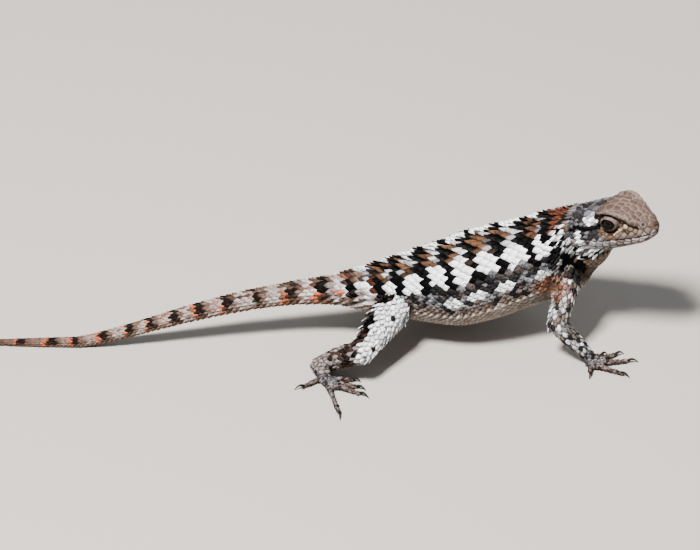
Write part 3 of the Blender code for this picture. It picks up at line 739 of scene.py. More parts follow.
def spine_reading(points):
    """Station x, lean in degrees with the right side positive, and reach beyond the section."""
    readings = []
    for chunk in np.array_split(points, max(1, len(points) // 4000)):
        reach = chunk[:, None, :] - table_centre[None]
        off_plane = np.abs((reach * table_forward[None]).sum(2))
        off_centre = np.linalg.norm(reach, axis=2)
        off_plane[off_centre > 2.2 * table_size[None, :, 0] + 3.0] += 100.0
        index = (off_plane + 0.02 * off_centre).argmin(1)
        row = np.arange(len(chunk))
        offset = reach[row, index]
        left = (offset * table_left[index]).sum(1)
        up = (offset * table_up[index]).sum(1)
        lean = np.degrees(np.arctan2(-left, up))
        size = table_size[index]
        tall = np.where(up > 0, size[:, 1], size[:, 2])
        full = (np.abs(left / size[:, 0]) ** 2.2 + np.abs(up / tall) ** 2.2) ** (1 / 2.2)
        beyond = (full - 1.0) * 0.5 * (size[:, 0] + tall)
        readings.append(np.stack([table_centre[index, 0], lean, beyond], axis=1))
    return np.concatenate(readings)


def limb_reading(point):
    """The limb length nearest to a point: limb, 0 upper or 1 lower, share, turn and distance."""
    best = None
    for limb, (joints, kind, _, _) in LIMBS.items():
        for part in (0, 1):
            start = Vector(joints[part])
            end = Vector(joints[part + 1])
            along = end - start
            share = min(max((point - start).dot(along) / along.length_squared, 0.0), 1.0)
            offset = point - start - along * share
            radius = RADII[kind][part][0] * (1 - share) + RADII[kind][part][2] * share
            gap = offset.length - radius
            if best is None or gap < best[4]:
                _, across, above = limb_axes(start, end)
                turn = math.degrees(math.atan2(offset.dot(above), offset.dot(across)))
                best = (limb, part, share, turn, gap)
    return best


print("rows of the table", len(table))

# %% [markdown]
# ## The palette and the pattern
# The back carries a row of chalk-white patches on each side, parted by soot-black bars that run
# over the spine, with rust and umber between them. A black collar and a blot mark the shoulder. The
# flank is pepper and salt, the belly plain beige, the tail banded in black, orange, pale and brown.
# Each function below takes a place in the body's terms and gives one colour.

# %% Palette
def shade(red, green, blue):
    """A colour on the 0 to 255 scale of a paint chart, as linear light."""
    parts = (red / 255, green / 255, blue / 255)
    return Vector([v / 12.92 if v <= 0.0404 else ((v + 0.055) / 1.055) ** 2.4 for v in parts])


CHALK = shade(246, 248, 253)
SILVER = shade(128, 132, 142)
ASH = shade(66, 63, 64)
SLATE = shade(40, 38, 39)
SOOT = shade(3, 3, 3)
UMBER = shade(50, 36, 28)
RUST = shade(72, 38, 26)
EMBER = shade(98, 54, 38)
FAWN = shade(122, 102, 88)
BEIGE = shade(182, 167, 154)
PLATE_BROWN = shade(68, 54, 48)
PLATE_EDGE = shade(117, 104, 97)


def mix(first, second, share):
    return first.lerp(second, min(max(share, 0.0), 1.0))


def grain(spot, size, seed=0.0):
    """Smooth noise from -1 to 1 with lumps of about this size in millimetres."""
    return noise.noise(spot / size + Vector((seed, seed * 1.7, -seed)))


print("chalk in linear light", [round(v, 3) for v in CHALK])

# %% Back, flank and belly
PATCHES = [57.4, 47.7, 39.5, 30.6, 21.8, 12.9, 5.2, -1.7, -10.0]
FLANK_PATCHES = [(54.6, 77.0), (42.3, 76.0), (33.3, 74.0), (25.7, 78.0)]


def unit_place(x, centres):
    """Where a station falls in its unit of the pattern: 0 in the middle, 0.5 at the front edge."""
    index = min(range(len(centres)), key=lambda k: abs(x - centres[k]))
    other = index - 1 if x > centres[index] else index + 1
    other = min(max(other, 0), len(centres) - 1)
    period = abs(centres[other] - centres[index]) or 8.0
    return (x - centres[index]) / period, period


def band_middle(x):
    """The lean at which the white patches lie: a third of the way down, lower at the hips."""
    return 34.0 + 18.0 * smoothstep((22.0 - x) / 18.0) + 3.0 * smoothstep((x - 50.0) / 6.0)


def dorsal_colour(f, lean, x, spot):
    """The strip over the spine: black, then grey-white, then brown, towards the tail."""
    jag = grain(spot, 2.0, 3.0)
    single = grain(spot, 0.9, 64.0)
    black = (f - 0.37 + 0.003 * abs(lean) + 0.2 * jag + 0.5) % 1.0 - 0.5
    if abs(black) < 0.2 + 0.08 * grain(spot, 1.3, 8.0) or single > 0.36:
        return SOOT
    if -0.44 + 0.3 * grain(spot, 1.2, 61.0) < black < 0.0 or single < -0.38:
        return mix(mix(CHALK, SILVER, 0.5), ASH, 0.35 + 1.1 * grain(spot, 1.2, 62.0))
    near_neck = smoothstep((x - 40.0) / 16.0)
    return mix(mix(UMBER, shade(98, 68, 46), 0.5 + 0.9 * jag), RUST, near_neck * (0.45 + 0.6 * jag))


def flank_colour(x, a, spot):
    speck = grain(spot, 1.1, 9.0)
    for patch_x, patch_lean in FLANK_PATCHES:
        if ((x - patch_x) / 2.9) ** 2 + ((a - patch_lean) / 6.5) ** 2 < 1.0 + 0.9 * speck:
            return mix(CHALK, SILVER, 0.25 - speck)
    cloud = grain(spot, 4.5, 5.0)
    low = smoothstep((a - 78.0) / 18.0)
    if speck + 0.7 * cloud > 0.0 + 0.35 * low:
        return mix(SOOT, SLATE, 0.5)
    fleck = mix(SLATE, SILVER, 0.45 - 1.5 * grain(spot, 0.9, 63.0))
    fleck = mix(fleck, shade(84, 66, 55), 0.3 + 0.7 * cloud)
    return mix(fleck, mix(FAWN, ASH, 0.4), low * 0.8)


def belly_colour(a, spot):
    low = mix(shade(160, 142, 128), shade(196, 186, 178), 0.5 + 0.9 * grain(spot, 2.0))
    low = mix(low, FAWN, 0.6 * max(grain(spot, 1.4, 4.0), 0.0) + 0.3 * max(grain(spot, 5.0, 33.0), 0.0))
    return mix(low * 0.85, shade(198, 185, 172), smoothstep((a - 118.0) / 30.0))


def torso_colour(x, lean, spot):
    jag = grain(spot, 2.0)
    middle = band_middle(x)
    half = 15.5 + 3.0 * smoothstep((20.0 - x) / 16.0)
    a = abs(lean) + 2.0 * jag
    f, period = unit_place(x + 0.4 * jag, PATCHES)
    if a < middle - half:
        return dorsal_colour(f, lean, x, spot)
    if a < middle + half:
        gap = 1.15 + 1.2 * (abs(a - middle) / half) ** 3 + 0.25 * jag
        if (0.5 - abs(f)) * period > gap:
            return mix(CHALK, SILVER, 0.04 - 0.3 * jag)
        return mix(SOOT, UMBER, 0.6 if f > 0 and jag > 0.25 else 0.0)
    if a < middle + half + 5.0 and (abs(f) > 0.3 or grain(spot, 2.4, 2.0) > 0.1):
        return SOOT
    if a < 97.0:
        return flank_colour(x, a, spot)
    return belly_colour(a, spot)


print("white patches on each side of the back", len(PATCHES))

# %% Neck and tail
TAIL_BARS = [2.4, -5.8, -14.6, -24.8, -36.2, -45.4, -54.3, -62.5, -69.8, -76.5, -84.4, -94.0,
             -101.3, -111.1, -119.5, -127.5, -134.5, -141.0, -147.0]


def tail_colour(x, lean, spot):
    """From each dark bar towards the tip: orange flecks, then pale, then brown before the next bar."""
    jag = grain(spot, 1.5, 4.0)
    fine = grain(spot, 1.0, 17.0)
    a = abs(lean)
    here = x + 0.9 * jag
    index = 0
    while index < len(TAIL_BARS) - 2 and here < TAIL_BARS[index + 1] + 1.5:
        index += 1
    g = (TAIL_BARS[index] + 1.5 - here) / (TAIL_BARS[index] - TAIL_BARS[index + 1])
    far = smoothstep((-x - 2.0) / 28.0)
    tip = smoothstep((-x - 60.0) / 60.0)
    pale = mix(mix(shade(150, 140, 138), CHALK, 0.4 + 0.9 * fine), shade(118, 98, 88), 0.75 * far)
    pale = mix(pale, shade(84, 66, 56), tip)
    orange = mix(shade(132, 62, 38), shade(172, 94, 66), 0.5 + fine)
    brown = mix(UMBER, shade(96, 74, 62), 0.4 + fine)
    upper = 1.0 - smoothstep((a - 70.0 - 30.0 * fine) / 26.0)
    if g < 0.3:
        colour = mix(brown, mix(SOOT, UMBER, 0.2 * far), 0.25 + 0.75 * upper)
    elif g < 0.52 - 0.1 * far:
        colour = orange if jag + 0.8 * fine > 0.04 - 0.3 * far else pale
    elif g < 0.8:
        colour = brown if fine > 0.3 else mix(pale, orange, 0.5 if fine < -0.42 else 0.0)
    else:
        colour = mix(pale, brown, 0.55 + 0.3 * far + 0.7 * fine)
    if a < 30.0 and fine > 0.05 and x > -50.0:
        colour = mix(brown, SOOT, 0.4)
    under = smoothstep((a - 100.0) / 18.0)
    return mix(colour, mix(shade(124, 98, 84), UMBER, 0.35 + 0.5 * fine), under)


# Middles and half axes of dark ovals, and lines on a map where six degrees of lean count as one
NAPE_SPOTS = (((65.6, 16.0), (1.4, 6.0)), ((64.4, 34.0), (1.2, 5.0)))
SHOULDER_BLOT = ((59.4, 61.0), (2.0, 9.0))
NECK_STREAK = ((63.6, 76 / 6), (66.4, 96 / 6), (68.4, 130 / 6))
NECK_BAR = ((66.5, 50 / 6), (61.4, 67 / 6))


def neck_colour(x, lean, spot):
    """Rust over the nape with black blots, white thorny scales on the side, a brown throat."""
    jag = grain(spot, 1.7, 6.0)
    fine = grain(spot, 0.9, 51.0)
    a = abs(lean) + 3.0 * jag
    if a < 54.0:
        if min(oval_reach(x, a, *oval) for oval in NAPE_SPOTS) < 1.0 or jag > 0.32:
            return SOOT
        grey = mix(shade(52, 47, 45), shade(104, 100, 100), 0.5 + 1.4 * fine)
        if x > 67.6:
            return grey
        rust = mix(RUST, EMBER, 0.5 + jag)
        pale = mix(shade(112, 96, 88), CHALK, 0.3 + 1.2 * fine)
        low = smoothstep((a - 24.0) / 8.0)
        rust_side = mix(rust, grey, smoothstep((x - 65.5) / 2.5) * 0.6)
        return mix(rust_side, rust if fine < -0.3 else pale, low)
    if flat_gap(x, a / 6.0, NECK_STREAK) < 0.95 + 0.4 * jag:
        return SOOT
    if a < 100.0:
        if jag < -0.26 or fine > 0.3:
            return SOOT
        return mix(ASH, CHALK, 0.14 + 1.1 * jag - 1.6 * fine)
    brown = mix(shade(74, 60, 50), shade(112, 96, 82), 0.5 + 1.2 * fine)
    return mix(brown, belly_colour(a, spot), smoothstep((67.0 - x) / 6.0))


def armpit_rust_and_shade(colour, spot):
    """Rust in the armpit, with painted shade that darkens it to near black at its bottom."""
    hollow = (spot - HOLLOW_BEHIND_ARM).length
    rust_and_shade = mix(shade(120, 74, 52), shade(30, 15, 10), smoothstep((3.4 - hollow) / 3.0))
    return mix(colour, rust_and_shade, smoothstep((6.6 - hollow) / 4.5) * 0.85)


def spine_colour(x, lean, spot):
    if x < 3.0:
        colour = tail_colour(x, lean, spot)
        if x > -14.0 and abs(lean) < 60.0:
            colour = mix(colour, torso_colour(x, lean, spot), smoothstep((x + 14.0) / 14.0) * 0.9)
        if abs(lean) > 100.0:
            pale = smoothstep((x + 13.0 + 3.0 * grain(spot, 2.0)) / 15.0)
            colour = mix(colour, belly_colour(abs(lean), spot), pale)
        return colour
    jag = grain(spot, 2.0, 6.0)
    a = abs(lean)
    collar = abs(x - (60.0 - 0.05 * a) + 0.5 * jag)
    blot = oval_reach(x, a, *SHOULDER_BLOT) + 0.3 * jag
    bar = flat_gap(x, a / 6.0, NECK_BAR)
    if (collar < 1.45 and a < 38.0) or blot < 1.0 or bar < 0.75 + 0.3 * jag:
        return SOOT
    if x > (60.2 if a < 24.0 else 61.4):
        return neck_colour(x, lean, spot)
    # The armpit's rust and its painted shade lie over the trunk's pattern here.
    return armpit_rust_and_shade(torso_colour(x, lean, spot), spot)


print("bars on the tail", len(TAIL_BARS))

# %% Limbs
def faces_down(turn, start, span):
    """0 on a limb's upper side, rising to 1 below; turn 90 is straight up."""
    return smoothstep((-math.sin(math.radians(turn)) - start) / span)


def faces_rear(limb, turn):
    return math.sin(math.radians(turn if "right" in limb else 180.0 - turn) + 0.5)


def limb_colour(limb, part, share, turn, spot):
    jag = grain(spot, 1.2, 12.0)
    cloud = grain(spot, 3.0, 14.0)
    fine = grain(spot, 0.8, 15.0)
    under = mix(FAWN, BEIGE, 0.5 + jag)
    if "leg" in limb and part == 0:
        colour = mix(CHALK, SILVER, 0.02 + 0.8 * fine)
        if faces_rear(limb, turn) > 0.88 and cloud > -0.3:
            colour = SOOT if jag > -0.15 else UMBER
        elif fine + 0.3 * cloud > 0.58 - 0.22 * share:
            colour = mix(SLATE, SOOT, 0.6)
    elif "leg" in limb:
        colour = mix(mix(SILVER, FAWN, 0.6), shade(70, 60, 54), 0.35 + 1.4 * fine)
        if abs((share * 2.4 + 0.3 * cloud) % 1.0 - 0.5) < 0.15:
            colour = mix(SOOT, UMBER, 0.3)
        elif fine > 0.28:
            colour = UMBER
    elif part == 0:
        colour = mix(mix(CHALK, ASH, 0.65 + 1.4 * jag), FAWN, 0.2 + 0.5 * cloud)
        if fine > 0.3 or share < 0.05:
            colour = mix(SOOT, SLATE, 0.5)
        # The armpit's rust and its painted shade reach onto the upper arm.
        if limb == "right_arm":
            colour = armpit_rust_and_shade(colour, spot)
            under = armpit_rust_and_shade(under, spot)
    else:
        colour = mix(mix(CHALK, ASH, 0.8 + 1.4 * jag), FAWN, 0.2 + 0.4 * cloud)
        if fine > 0.2:
            colour = mix(SOOT, SLATE, 0.5)
    return mix(colour, under, faces_down(turn, 0.35, 0.4))


def foot_colour(spot):
    pale = mix(mix(SILVER, FAWN, 0.3), ASH, 0.08 + 0.9 * grain(spot, 1.2, 2.0))
    return mix(pale, SLATE, 0.9 if grain(spot, 0.9, 7.0) > 0.2 else 0.0)


def toe_colour(spot, share):
    upper = mix(shade(122, 102, 93), shade(42, 31, 27), 0.45 + 1.6 * grain(spot, 1.0, 5.0))
    # Darker towards the ground: painted shade under the toe.
    return mix(upper, UMBER, 0.5 * smoothstep((1.0 - spot.z) / 0.6))


print("a toe's colour", [round(v, 2) for v in toe_colour(TOES[0][1][4], 0.5)])

# %% [markdown]
# ## Colours of the face
# The plates on top of the head are dull brown with pale seams. A painted shadow of the brow runs
# under it towards the nose as a dark line, a thin grey rim rings the eye, a black streak runs back
# from it to the neck, and the lips are rows of oblong plates in greys and browns with dark seams.

# %% Face
# Where the crown ends; on the side of the head, a black streak and a pale line below the eye,
# and the middles and half axes of a white oval on the temple and a rusty one on the lip
CROWN_END = 21.0
STREAK = ((17.4, 4.4), (19.6, 4.7), (22.5, 4.7), (26.0, 4.3), (30.0, 3.6), (33.5, 2.4))
CHEEK_LINE = ((8.3, 3.3), (12.4, 1.5))
TEMPLE_OVAL = ((20.4, 6.6), (2.7, 1.4))
LIP_OVAL = ((13.0, 0.7), (1.6, 0.9))


def on_crown(behind, rise):
    return rise > canthus_level(behind) and behind < CROWN_END


def rear_of_crown(behind):
    return smoothstep((behind - 11.0) / 7.0)


def head_colour(behind, out, rise, spot):
    jag = grain(spot, 1.6, 20.0)
    side = side_of(out)
    brow_line = brow_line_gap(spot, side)
    lip = rise - mouth_level(behind)
    lids = lid_reach(spot, side)
    if lids < LID_RIM:
        a, b, _ = eye_reading(spot, side)
        wide = 0.07 + 0.09 * smoothstep((a + 1.6 * (b + LID_SHIFT)) / 3.0)
        ring = smoothstep((abs(lids - 1.1 - wide) - wide) / 0.1)
        return mix(mix(shade(108, 96, 90), shade(72, 60, 55), 0.5 + 1.2 * jag), shade(14, 10, 8), ring)
    # Painted shadow under the brow ridge: a dark line towards the nose, wider behind the eye.
    behind_eye = smoothstep((behind - 14.5) / 2.0) * (1.0 - smoothstep((behind - 18.0) / 1.0))
    if brow_line < 0.58 + 0.6 * behind_eye and 3.8 < behind < 19.0:
        return mix(SOOT, UMBER, 0.3)
    if rise > canthus_level(behind) or (behind < 5.0 and abs(out) < 3.4 and rise > 0.6):
        brown = mix(PLATE_BROWN, shade(88, 69, 59), 0.5 + 0.9 * jag)
        back = smoothstep((behind - 16.0 + 9.0 * grain(spot, 0.9, 44.0)) / 8.0)
        grey = mix(shade(52, 46, 43), shade(100, 94, 93), 0.5 + 1.4 * jag)
        return mix(brown * (1.0 - 0.35 * rear_of_crown(behind)), grey, back)
    if behind > 17.4 and flat_gap(behind, rise, STREAK) < 0.55 + 0.3 * jag:
        return SOOT
    if behind > 17.6 and rise > 0.6:
        if oval_reach(behind, rise, *TEMPLE_OVAL) < 1.0:
            return mix(SILVER, CHALK, 0.25 + 1.4 * jag)
        if jag < -0.26:
            return SLATE
        return mix(shade(32, 30, 30), shade(88, 87, 92), 0.5 + 1.8 * grain(spot, 0.9, 41.0))
    if lip > 1.6:
        if flat_gap(behind, rise, CHEEK_LINE) < 0.4:
            return shade(150, 134, 116)
        return mix(shade(104, 86, 72), shade(52, 38, 30), 0.45 + 1.2 * jag)
    if lip > -2.9:
        if oval_reach(behind, lip, *LIP_OVAL) < 1.0:
            return mix(RUST, FAWN, 0.3)
        rear = smoothstep((behind - 12.0) / 8.0)
        lips = mix(shade(78, 67, 62), shade(134, 124, 121), 0.5 + 1.7 * grain(spot, 1.0, 31.0))
        lips = mix(lips, shade(84, 70, 62), 0.7 * smoothstep((lip - 0.9) / 0.4))
        return mix(lips, SILVER if jag > -0.2 else SLATE, 0.5 * rear)
    if behind > 20.0 and rise > -6.5:
        return mix(ASH, CHALK, 0.34 + 1.8 * grain(spot, 0.9, 42.0)) if jag > -0.13 else SOOT
    if lip > -4.2:
        return mix(SILVER, ASH, 0.5 + jag)
    return mix(shade(92, 76, 62), shade(132, 114, 98), 0.5 + 0.7 * jag)


print("the crown's colour", [round(v, 2) for v in head_colour(9.0, 2.0, 6.6, head_point(9.0, 2.0, 6.6))])

# %% [markdown]
# ## Materials
# Each scale's colour is stored on the mesh as an attribute, and one shader reads it. Fine noise in
# the object's own coordinates breaks it up, a second noise sets dark flecks whose strength comes
# from the attribute's alpha, and a bump of tiny ridges gives the dry sheen of horn.

# %% Hide and horn
def add_node(material, kind, **inputs):
    """A shader node with inputs set; an underscore stands for the space in an input's name."""
    node = material.node_tree.nodes.new("ShaderNode" + kind)
    for name, value in inputs.items():
        node.inputs[name.replace("_", " ")].default_value = value
    return node


def hide_material(name, roughness, bump, sheen):
    material, shader = new_material(name)
    link = material.node_tree.links.new
    colour = add_node(material, "Attribute")
    colour.attribute_name = "hide"
    place = add_node(material, "TexCoord")
    fine = add_node(material, "TexNoise", Scale=2600.0, Detail=4.0)
    flecks = add_node(material, "TexNoise", Scale=1500.0, Detail=3.0)
    for noise_node in (fine, flecks):
        link(place.outputs["Object"], noise_node.inputs["Vector"])
    tone = add_node(material, "MapRange", From_Min=0.3, From_Max=0.7, To_Min=0.8, To_Max=1.12)
    link(fine.outputs["Fac"], tone.inputs["Value"])
    fleck_share = add_node(material, "MapRange", From_Min=0.5, From_Max=0.62, To_Max=-0.85)
    link(flecks.outputs["Fac"], fleck_share.inputs["Value"])
    darker = add_node(material, "Math")
    darker.operation = "MULTIPLY_ADD"
    darker.inputs[2].default_value = 1.0
    link(fleck_share.outputs["Result"], darker.inputs[0])
    link(colour.outputs["Alpha"], darker.inputs[1])
    whole_tone = add_node(material, "Math")
    whole_tone.operation = "MULTIPLY"
    link(tone.outputs["Result"], whole_tone.inputs[0])
    link(darker.outputs["Value"], whole_tone.inputs[1])
    tint = add_node(material, "VectorMath")
    tint.operation = "SCALE"
    link(colour.outputs["Color"], tint.inputs[0])
    link(whole_tone.outputs["Value"], tint.inputs["Scale"])
    link(tint.outputs["Vector"], shader.inputs["Base Color"])
    rough = add_node(material, "MapRange", To_Min=roughness - 0.1, To_Max=roughness + 0.12)
    link(fine.outputs["Fac"], rough.inputs["Value"])
    link(rough.outputs["Result"], shader.inputs["Roughness"])
    ridges = add_node(material, "Bump", Strength=bump, Distance=0.00012)
    link(fine.outputs["Fac"], ridges.inputs["Height"])
    link(ridges.outputs["Normal"], shader.inputs["Normal"])
    shader.inputs["Specular IOR Level"].default_value = sheen
    return material


SKIN_HIDE = hide_material("skin_between_scales", 0.7, 0.5, 0.03)
SCALE_HORN = hide_material("keeled_scale_horn", 0.55, 0.45, 0.04)
PLATE_HORN = hide_material("head_plate_horn", 0.5, 0.45, 0.08)
print("materials", len(bpy.data.materials))


def store_colours(mesh, colours, flecks=0.2):
    """Colour of each point, with the strength of the shader's dark flecks in the alpha."""
    layer = mesh.color_attributes.new("hide", "FLOAT_COLOR", "POINT")
    flat = np.ones((len(mesh.vertices), 4), np.float32)
    flat[:, :3] = np.clip(colours, 0.0, 1.0)
    flat[:, 3] = flecks
    layer.data.foreach_set("color", flat.ravel())


# %% [markdown]
# ## Colour the skin
# The skin shows in thin lines between scales, so it takes the same pattern, darkened by half as painted
# shade for those gaps. Every point is first told apart: head, trunk, limb or foot.

# %% Sort the skin's points and colour them
FOOT_REACH = {"leg": 22.0, "arm": 15.0}
HEAD_END = 28.5
ANKLE_HEIGHT = 3.4


def place_kind(point, reading):
    """Which part of the animal a point of the skin belongs to."""
    x, lean, beyond = reading
    behind, out, rise = head_reading(point)
    if behind < HEAD_END and x > 60.0 and rise > -18.0:
        return "head"
    if point.z < ANKLE_HEIGHT and beyond > 1.5:
        for _, kind, place, _ in LIMBS.values():
            if math.hypot(point.x - place[0], point.y - place[1]) < FOOT_REACH[kind]:
                return "foot"
    return "limb" if beyond > 0.9 else "spine"


skin_points = [vert.co.copy() for vert in skin_bm.verts]
skin_readings = spine_reading(np.array(skin_points))
skin_kinds = [place_kind(point, reading) for point, reading in zip(skin_points, skin_readings)]


def skin_colour(point, kind, reading):
    if kind == "head":
        behind, out, rise = head_reading(point)
        colour = head_colour(behind, out, rise, point)
        lids = lid_reach(point, side_of(out))
        # At the lids and the crown's seams the skin shows broadly, so it is brightened against the
        # painted shade given below.
        if lids < LID_RIM:
            return colour * 2.0
        if on_crown(behind, rise):
            return mix(colour, PLATE_EDGE, 0.8) * 1.6
        return colour
    if kind == "foot":
        return foot_colour(point)
    if kind == "limb":
        limb, part, share, turn, _ = limb_reading(point)
        return limb_colour(limb, part, share, turn, point)
    return spine_colour(reading[0], reading[1], point)


skin_colours = [skin_colour(*each) for each in zip(skin_points, skin_kinds, skin_readings)]
print({kind: skin_kinds.count(kind) for kind in sorted(set(skin_kinds))})

skin_mesh.clear_geometry()
skin_bm.to_mesh(skin_mesh)
# Half the colour: painted shade for the gaps between scales.
store_colours(skin_mesh, np.array(skin_colours) * 0.5)
skin_mesh.name = "lizard_skin"
flesh = [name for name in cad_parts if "eye" not in name]
finish_piece("lizard_skin", skin_mesh, SKIN_HIDE, flesh)

# %% [markdown]
# ## One scale, then thousands
# A keeled scale is a leaf of horn: narrow at its hidden root, broad in the middle, pointed at the
# tip, with a ridge along it. It is shaped once from a grid. Arrays then lay copies of it over the
# skin, each turned to the surface, sized, bent over the curve under it and lifted at its tip. Away
# from the back, the tail and the head, each point of a scale is also kept above the skin.

# %% Shape one leaf scale
LEAF_SHARES = (0.0, 0.2, 0.45, 0.68, 0.85, 0.95, 1.0)
LEAF_HALF_WIDTHS = (0.6, 0.84, 1.0, 0.88, 0.54, 0.22, 0.05)


def leaf_template(across, along):
    """A closed leaf as arrays: across and along shares, half widths and faces."""
    bm = bmesh.new()
    bmesh.ops.create_grid(bm, x_segments=across, y_segments=along, size=1.0)
    rim = [edge for edge in bm.edges if edge.is_boundary]
    under = bmesh.ops.contextual_create(bm, geom=rim)["faces"]
    bmesh.ops.recalc_face_normals(bm, faces=bm.faces)
    side = np.array([vert.co.x for vert in bm.verts])
    share = np.array([0.5 * (vert.co.y + 1.0) for vert in bm.verts]) ** 0.85
    faces = [[vert.index for vert in face.verts] for face in bm.faces]
    top = [face for face in bm.faces if face not in under][0]
    if top.normal.z < 0:
        faces = [face[::-1] for face in faces]
    bm.free()
    return side, share, np.interp(share, LEAF_SHARES, LEAF_HALF_WIDTHS), faces


LEAF = leaf_template(4, 5)
SMALL_LEAF = leaf_template(4, 3)
print("faces of a leaf", len(LEAF[3]), "of a small leaf", len(SMALL_LEAF[3]))

# %% Lay a coat of scales
covered = []


class Coat:
    """Scales gathered for one piece: root, surface normal, way back, sizes, colour and map place."""

    def __init__(self):
        self.rows = []

    def add(self, root, normal, back, length, width, height, lift, bend, colour, map_place, flecks=0.2):
        back = (back - normal * back.dot(normal)).normalized()
        sizes = (length, width, height, lift, bend)
        self.rows.append((*root, *normal, *back, *sizes, *colour, *map_place, flecks))

    def build(self, name, template, material, edge=0.5, hug=False):
        side, share, half, faces = template
        rows = np.array(self.rows)
        root, normal, back = rows[:, 0:3], rows[:, 3:6], rows[:, 6:9]
        length, width, height, lift, bend = (rows[:, index:index + 1] for index in range(9, 14))
        covered.extend((root + back * length * 0.45).tolist())
        across = np.cross(normal, back)
        run = share[None] * length
        span = side[None] * half[None] * width * 0.5
        keel = (1.0 - np.abs(side)) ** 1.2 * (0.35 + 0.75 * share)
        crown = (1.0 - side ** 2) * np.sin(np.pi * np.clip(share, 0.0, 1.0)) * 0.3
        rise = height * (keel + crown)[None] + lift * share[None] ** 1.2 - span ** 2 / (2.0 * bend) - 0.15
        points = (root[:, None] + back[:, None] * run[..., None] + across[:, None] * span[..., None]
                  + normal[:, None] * rise[..., None])
        if hug:
            keep_above_skin(points, share)
        points[..., 2] = np.maximum(points[..., 2], 0.02 + 0.05 * side[None] ** 2)
        # Each point of a scale is darkened at the rims, darkened towards the hidden root as painted
        # shade, and lightened along the keel as a painted highlight.
        rim = np.clip(np.abs(side) ** 4 + share ** 7, 0.0, 1.0)
        factor = (1.0 - edge * rim) * (0.8 + 0.2 * share ** 0.5) + 0.06 * (np.abs(side) < 0.1)
        colours = rows[:, 14:17][:, None] * factor[None, :, None]
        count = len(side)
        mesh = bpy.data.meshes.new(name)
        all_faces = [[vertex + count * index for vertex in face]
                     for index in range(len(rows)) for face in faces]
        mesh.from_pydata(points.reshape(-1, 3).tolist(), [], all_faces)
        patch = np.stack([side * half * 0.0015, (share - 0.5) * 0.003], axis=1)
        store_map(mesh, (rows[:, 17:19][:, None] + patch[None]).reshape(-1, 2))
        store_colours(mesh, colours.reshape(-1, 3), np.repeat(rows[:, 19], count))
        print(name, "scales", len(rows))
        finish_piece(name, mesh, material, sharp=34.0)


def keep_above_skin(points, share):
    """Where the skin is hollow, raise a scale's points over it: more towards the tip."""
    for scale in points:
        for vertex, along in zip(scale, share):
            place, normal, _ = on_skin(Vector(vertex))
            missing = 0.5 * along - 0.15 - (Vector(vertex) - place).dot(normal)
            if missing > 0.0:
                vertex += np.array(normal) * missing


def in_map(across, up, margin=0.03):
    """A place of the map from two shares, clear of its edges."""
    return margin + (1.0 - 2.0 * margin) * across, margin + (1.0 - 2.0 * margin) * up


def store_map(mesh, places):
    """A map that holds each scale as a small patch at its root's place."""
    layer = mesh.uv_layers.new(name="OFBake")
    corners = np.zeros(len(mesh.loops), np.int32)
    mesh.loops.foreach_get("vertex_index", corners)
    layer.data.foreach_set("uv", np.clip(places[corners], 0.0, 1.0).astype(np.float32).ravel())


def on_skin(point):
    """The nearest place of the skin, and the normal there."""
    place, normal, _, distance = skin_tree.find_nearest(point)
    return place, normal, distance


# %% [markdown]
# ## Rows over the trunk and tail
# Scales stand in slanting rows: each ring of scales is set half a scale aside from the one before,
# so a scale covers the gap between the two in front. Rows on the back are broad, those low on the
# flank and on the belly smaller, and the count of a ring only changes now and then.

# %% Rings of scales
draw = random.Random(5)


def fleck_strength(x, lean):
    """Few dark flecks in the white band, many on the flank."""
    a = abs(lean)
    if x < 2.0:
        return 0.55
    if a > 100.0:
        return 0.3
    if a > band_middle(x) + 14.0:
        return 0.9
    return 0.3 if a > band_middle(x) - 14.0 else 0.5


def ring_scales(coat, first_x, last_x, zone, width, sizes, step_share=0.52):
    """Rings of scales between two leans; sizes gives length, height and lift per width."""
    first_lean, last_lean = zone
    length, height, lift = sizes
    x = first_x
    row = 0
    count = None
    while x > last_x:
        place = spine_place(x)
        half_width, above, below = between(SPINE, place)[5:]
        girth = math.pi * 0.5 * (half_width + 0.5 * (above + below)) * 2.0
        arc = girth * (last_lean - first_lean) / 360.0
        ideal = arc / width(x)
        if count is None or abs(ideal - count) > 0.75:
            count = max(2, round(ideal))
        grown = arc / count
        for index in range(count + row % 2):
            lean = first_lean + (last_lean - first_lean) * (index + 0.5 - 0.5 * (row % 2)) / count
            turn = math.radians(90.0 + lean)
            target = spine_point(place, turn, -SKIN_DEPTH * 0.5)
            spot, normal, distance = on_skin(target)
            if distance > 1.1:
                continue
            back = spine_point(place + 0.1, turn) - spine_point(place - 0.1, turn)
            outward = (spine_point(place, turn, 0.3) - target).normalized()
            if normal.dot(outward) < 0.5:
                continue
            normal = (normal + outward).normalized()
            size = draw.uniform(0.94, 1.06)
            colour = spine_colour(x - 0.5 * grown, -lean, spot) * draw.uniform(0.92, 1.06)
            map_place = in_map((72.0 - x) / 220.0, (lean % 360.0) / 360.0)
            coat.add(spot - back.normalized() * 0.3 * grown, normal, back, length * grown * size,
                     grown * 1.12 * size, height * grown, lift * grown * draw.uniform(0.85, 1.2),
                     0.5 * (half_width + above), colour, map_place, fleck_strength(x, lean))
        x -= grown * step_share
        row += 1


def trunk_width(x):
    return 2.05 + 0.85 * smoothstep((68.0 - x) / 18.0) - 0.45 * smoothstep((14.0 - x) / 14.0)


def trunk_coat(name, ends, zones, width, sizes, template, edge, hug=True):
    coat = Coat()
    for zone in zones:
        ring_scales(coat, *ends, zone, width, sizes)
    coat.build(name, template, SCALE_HORN, edge, hug)


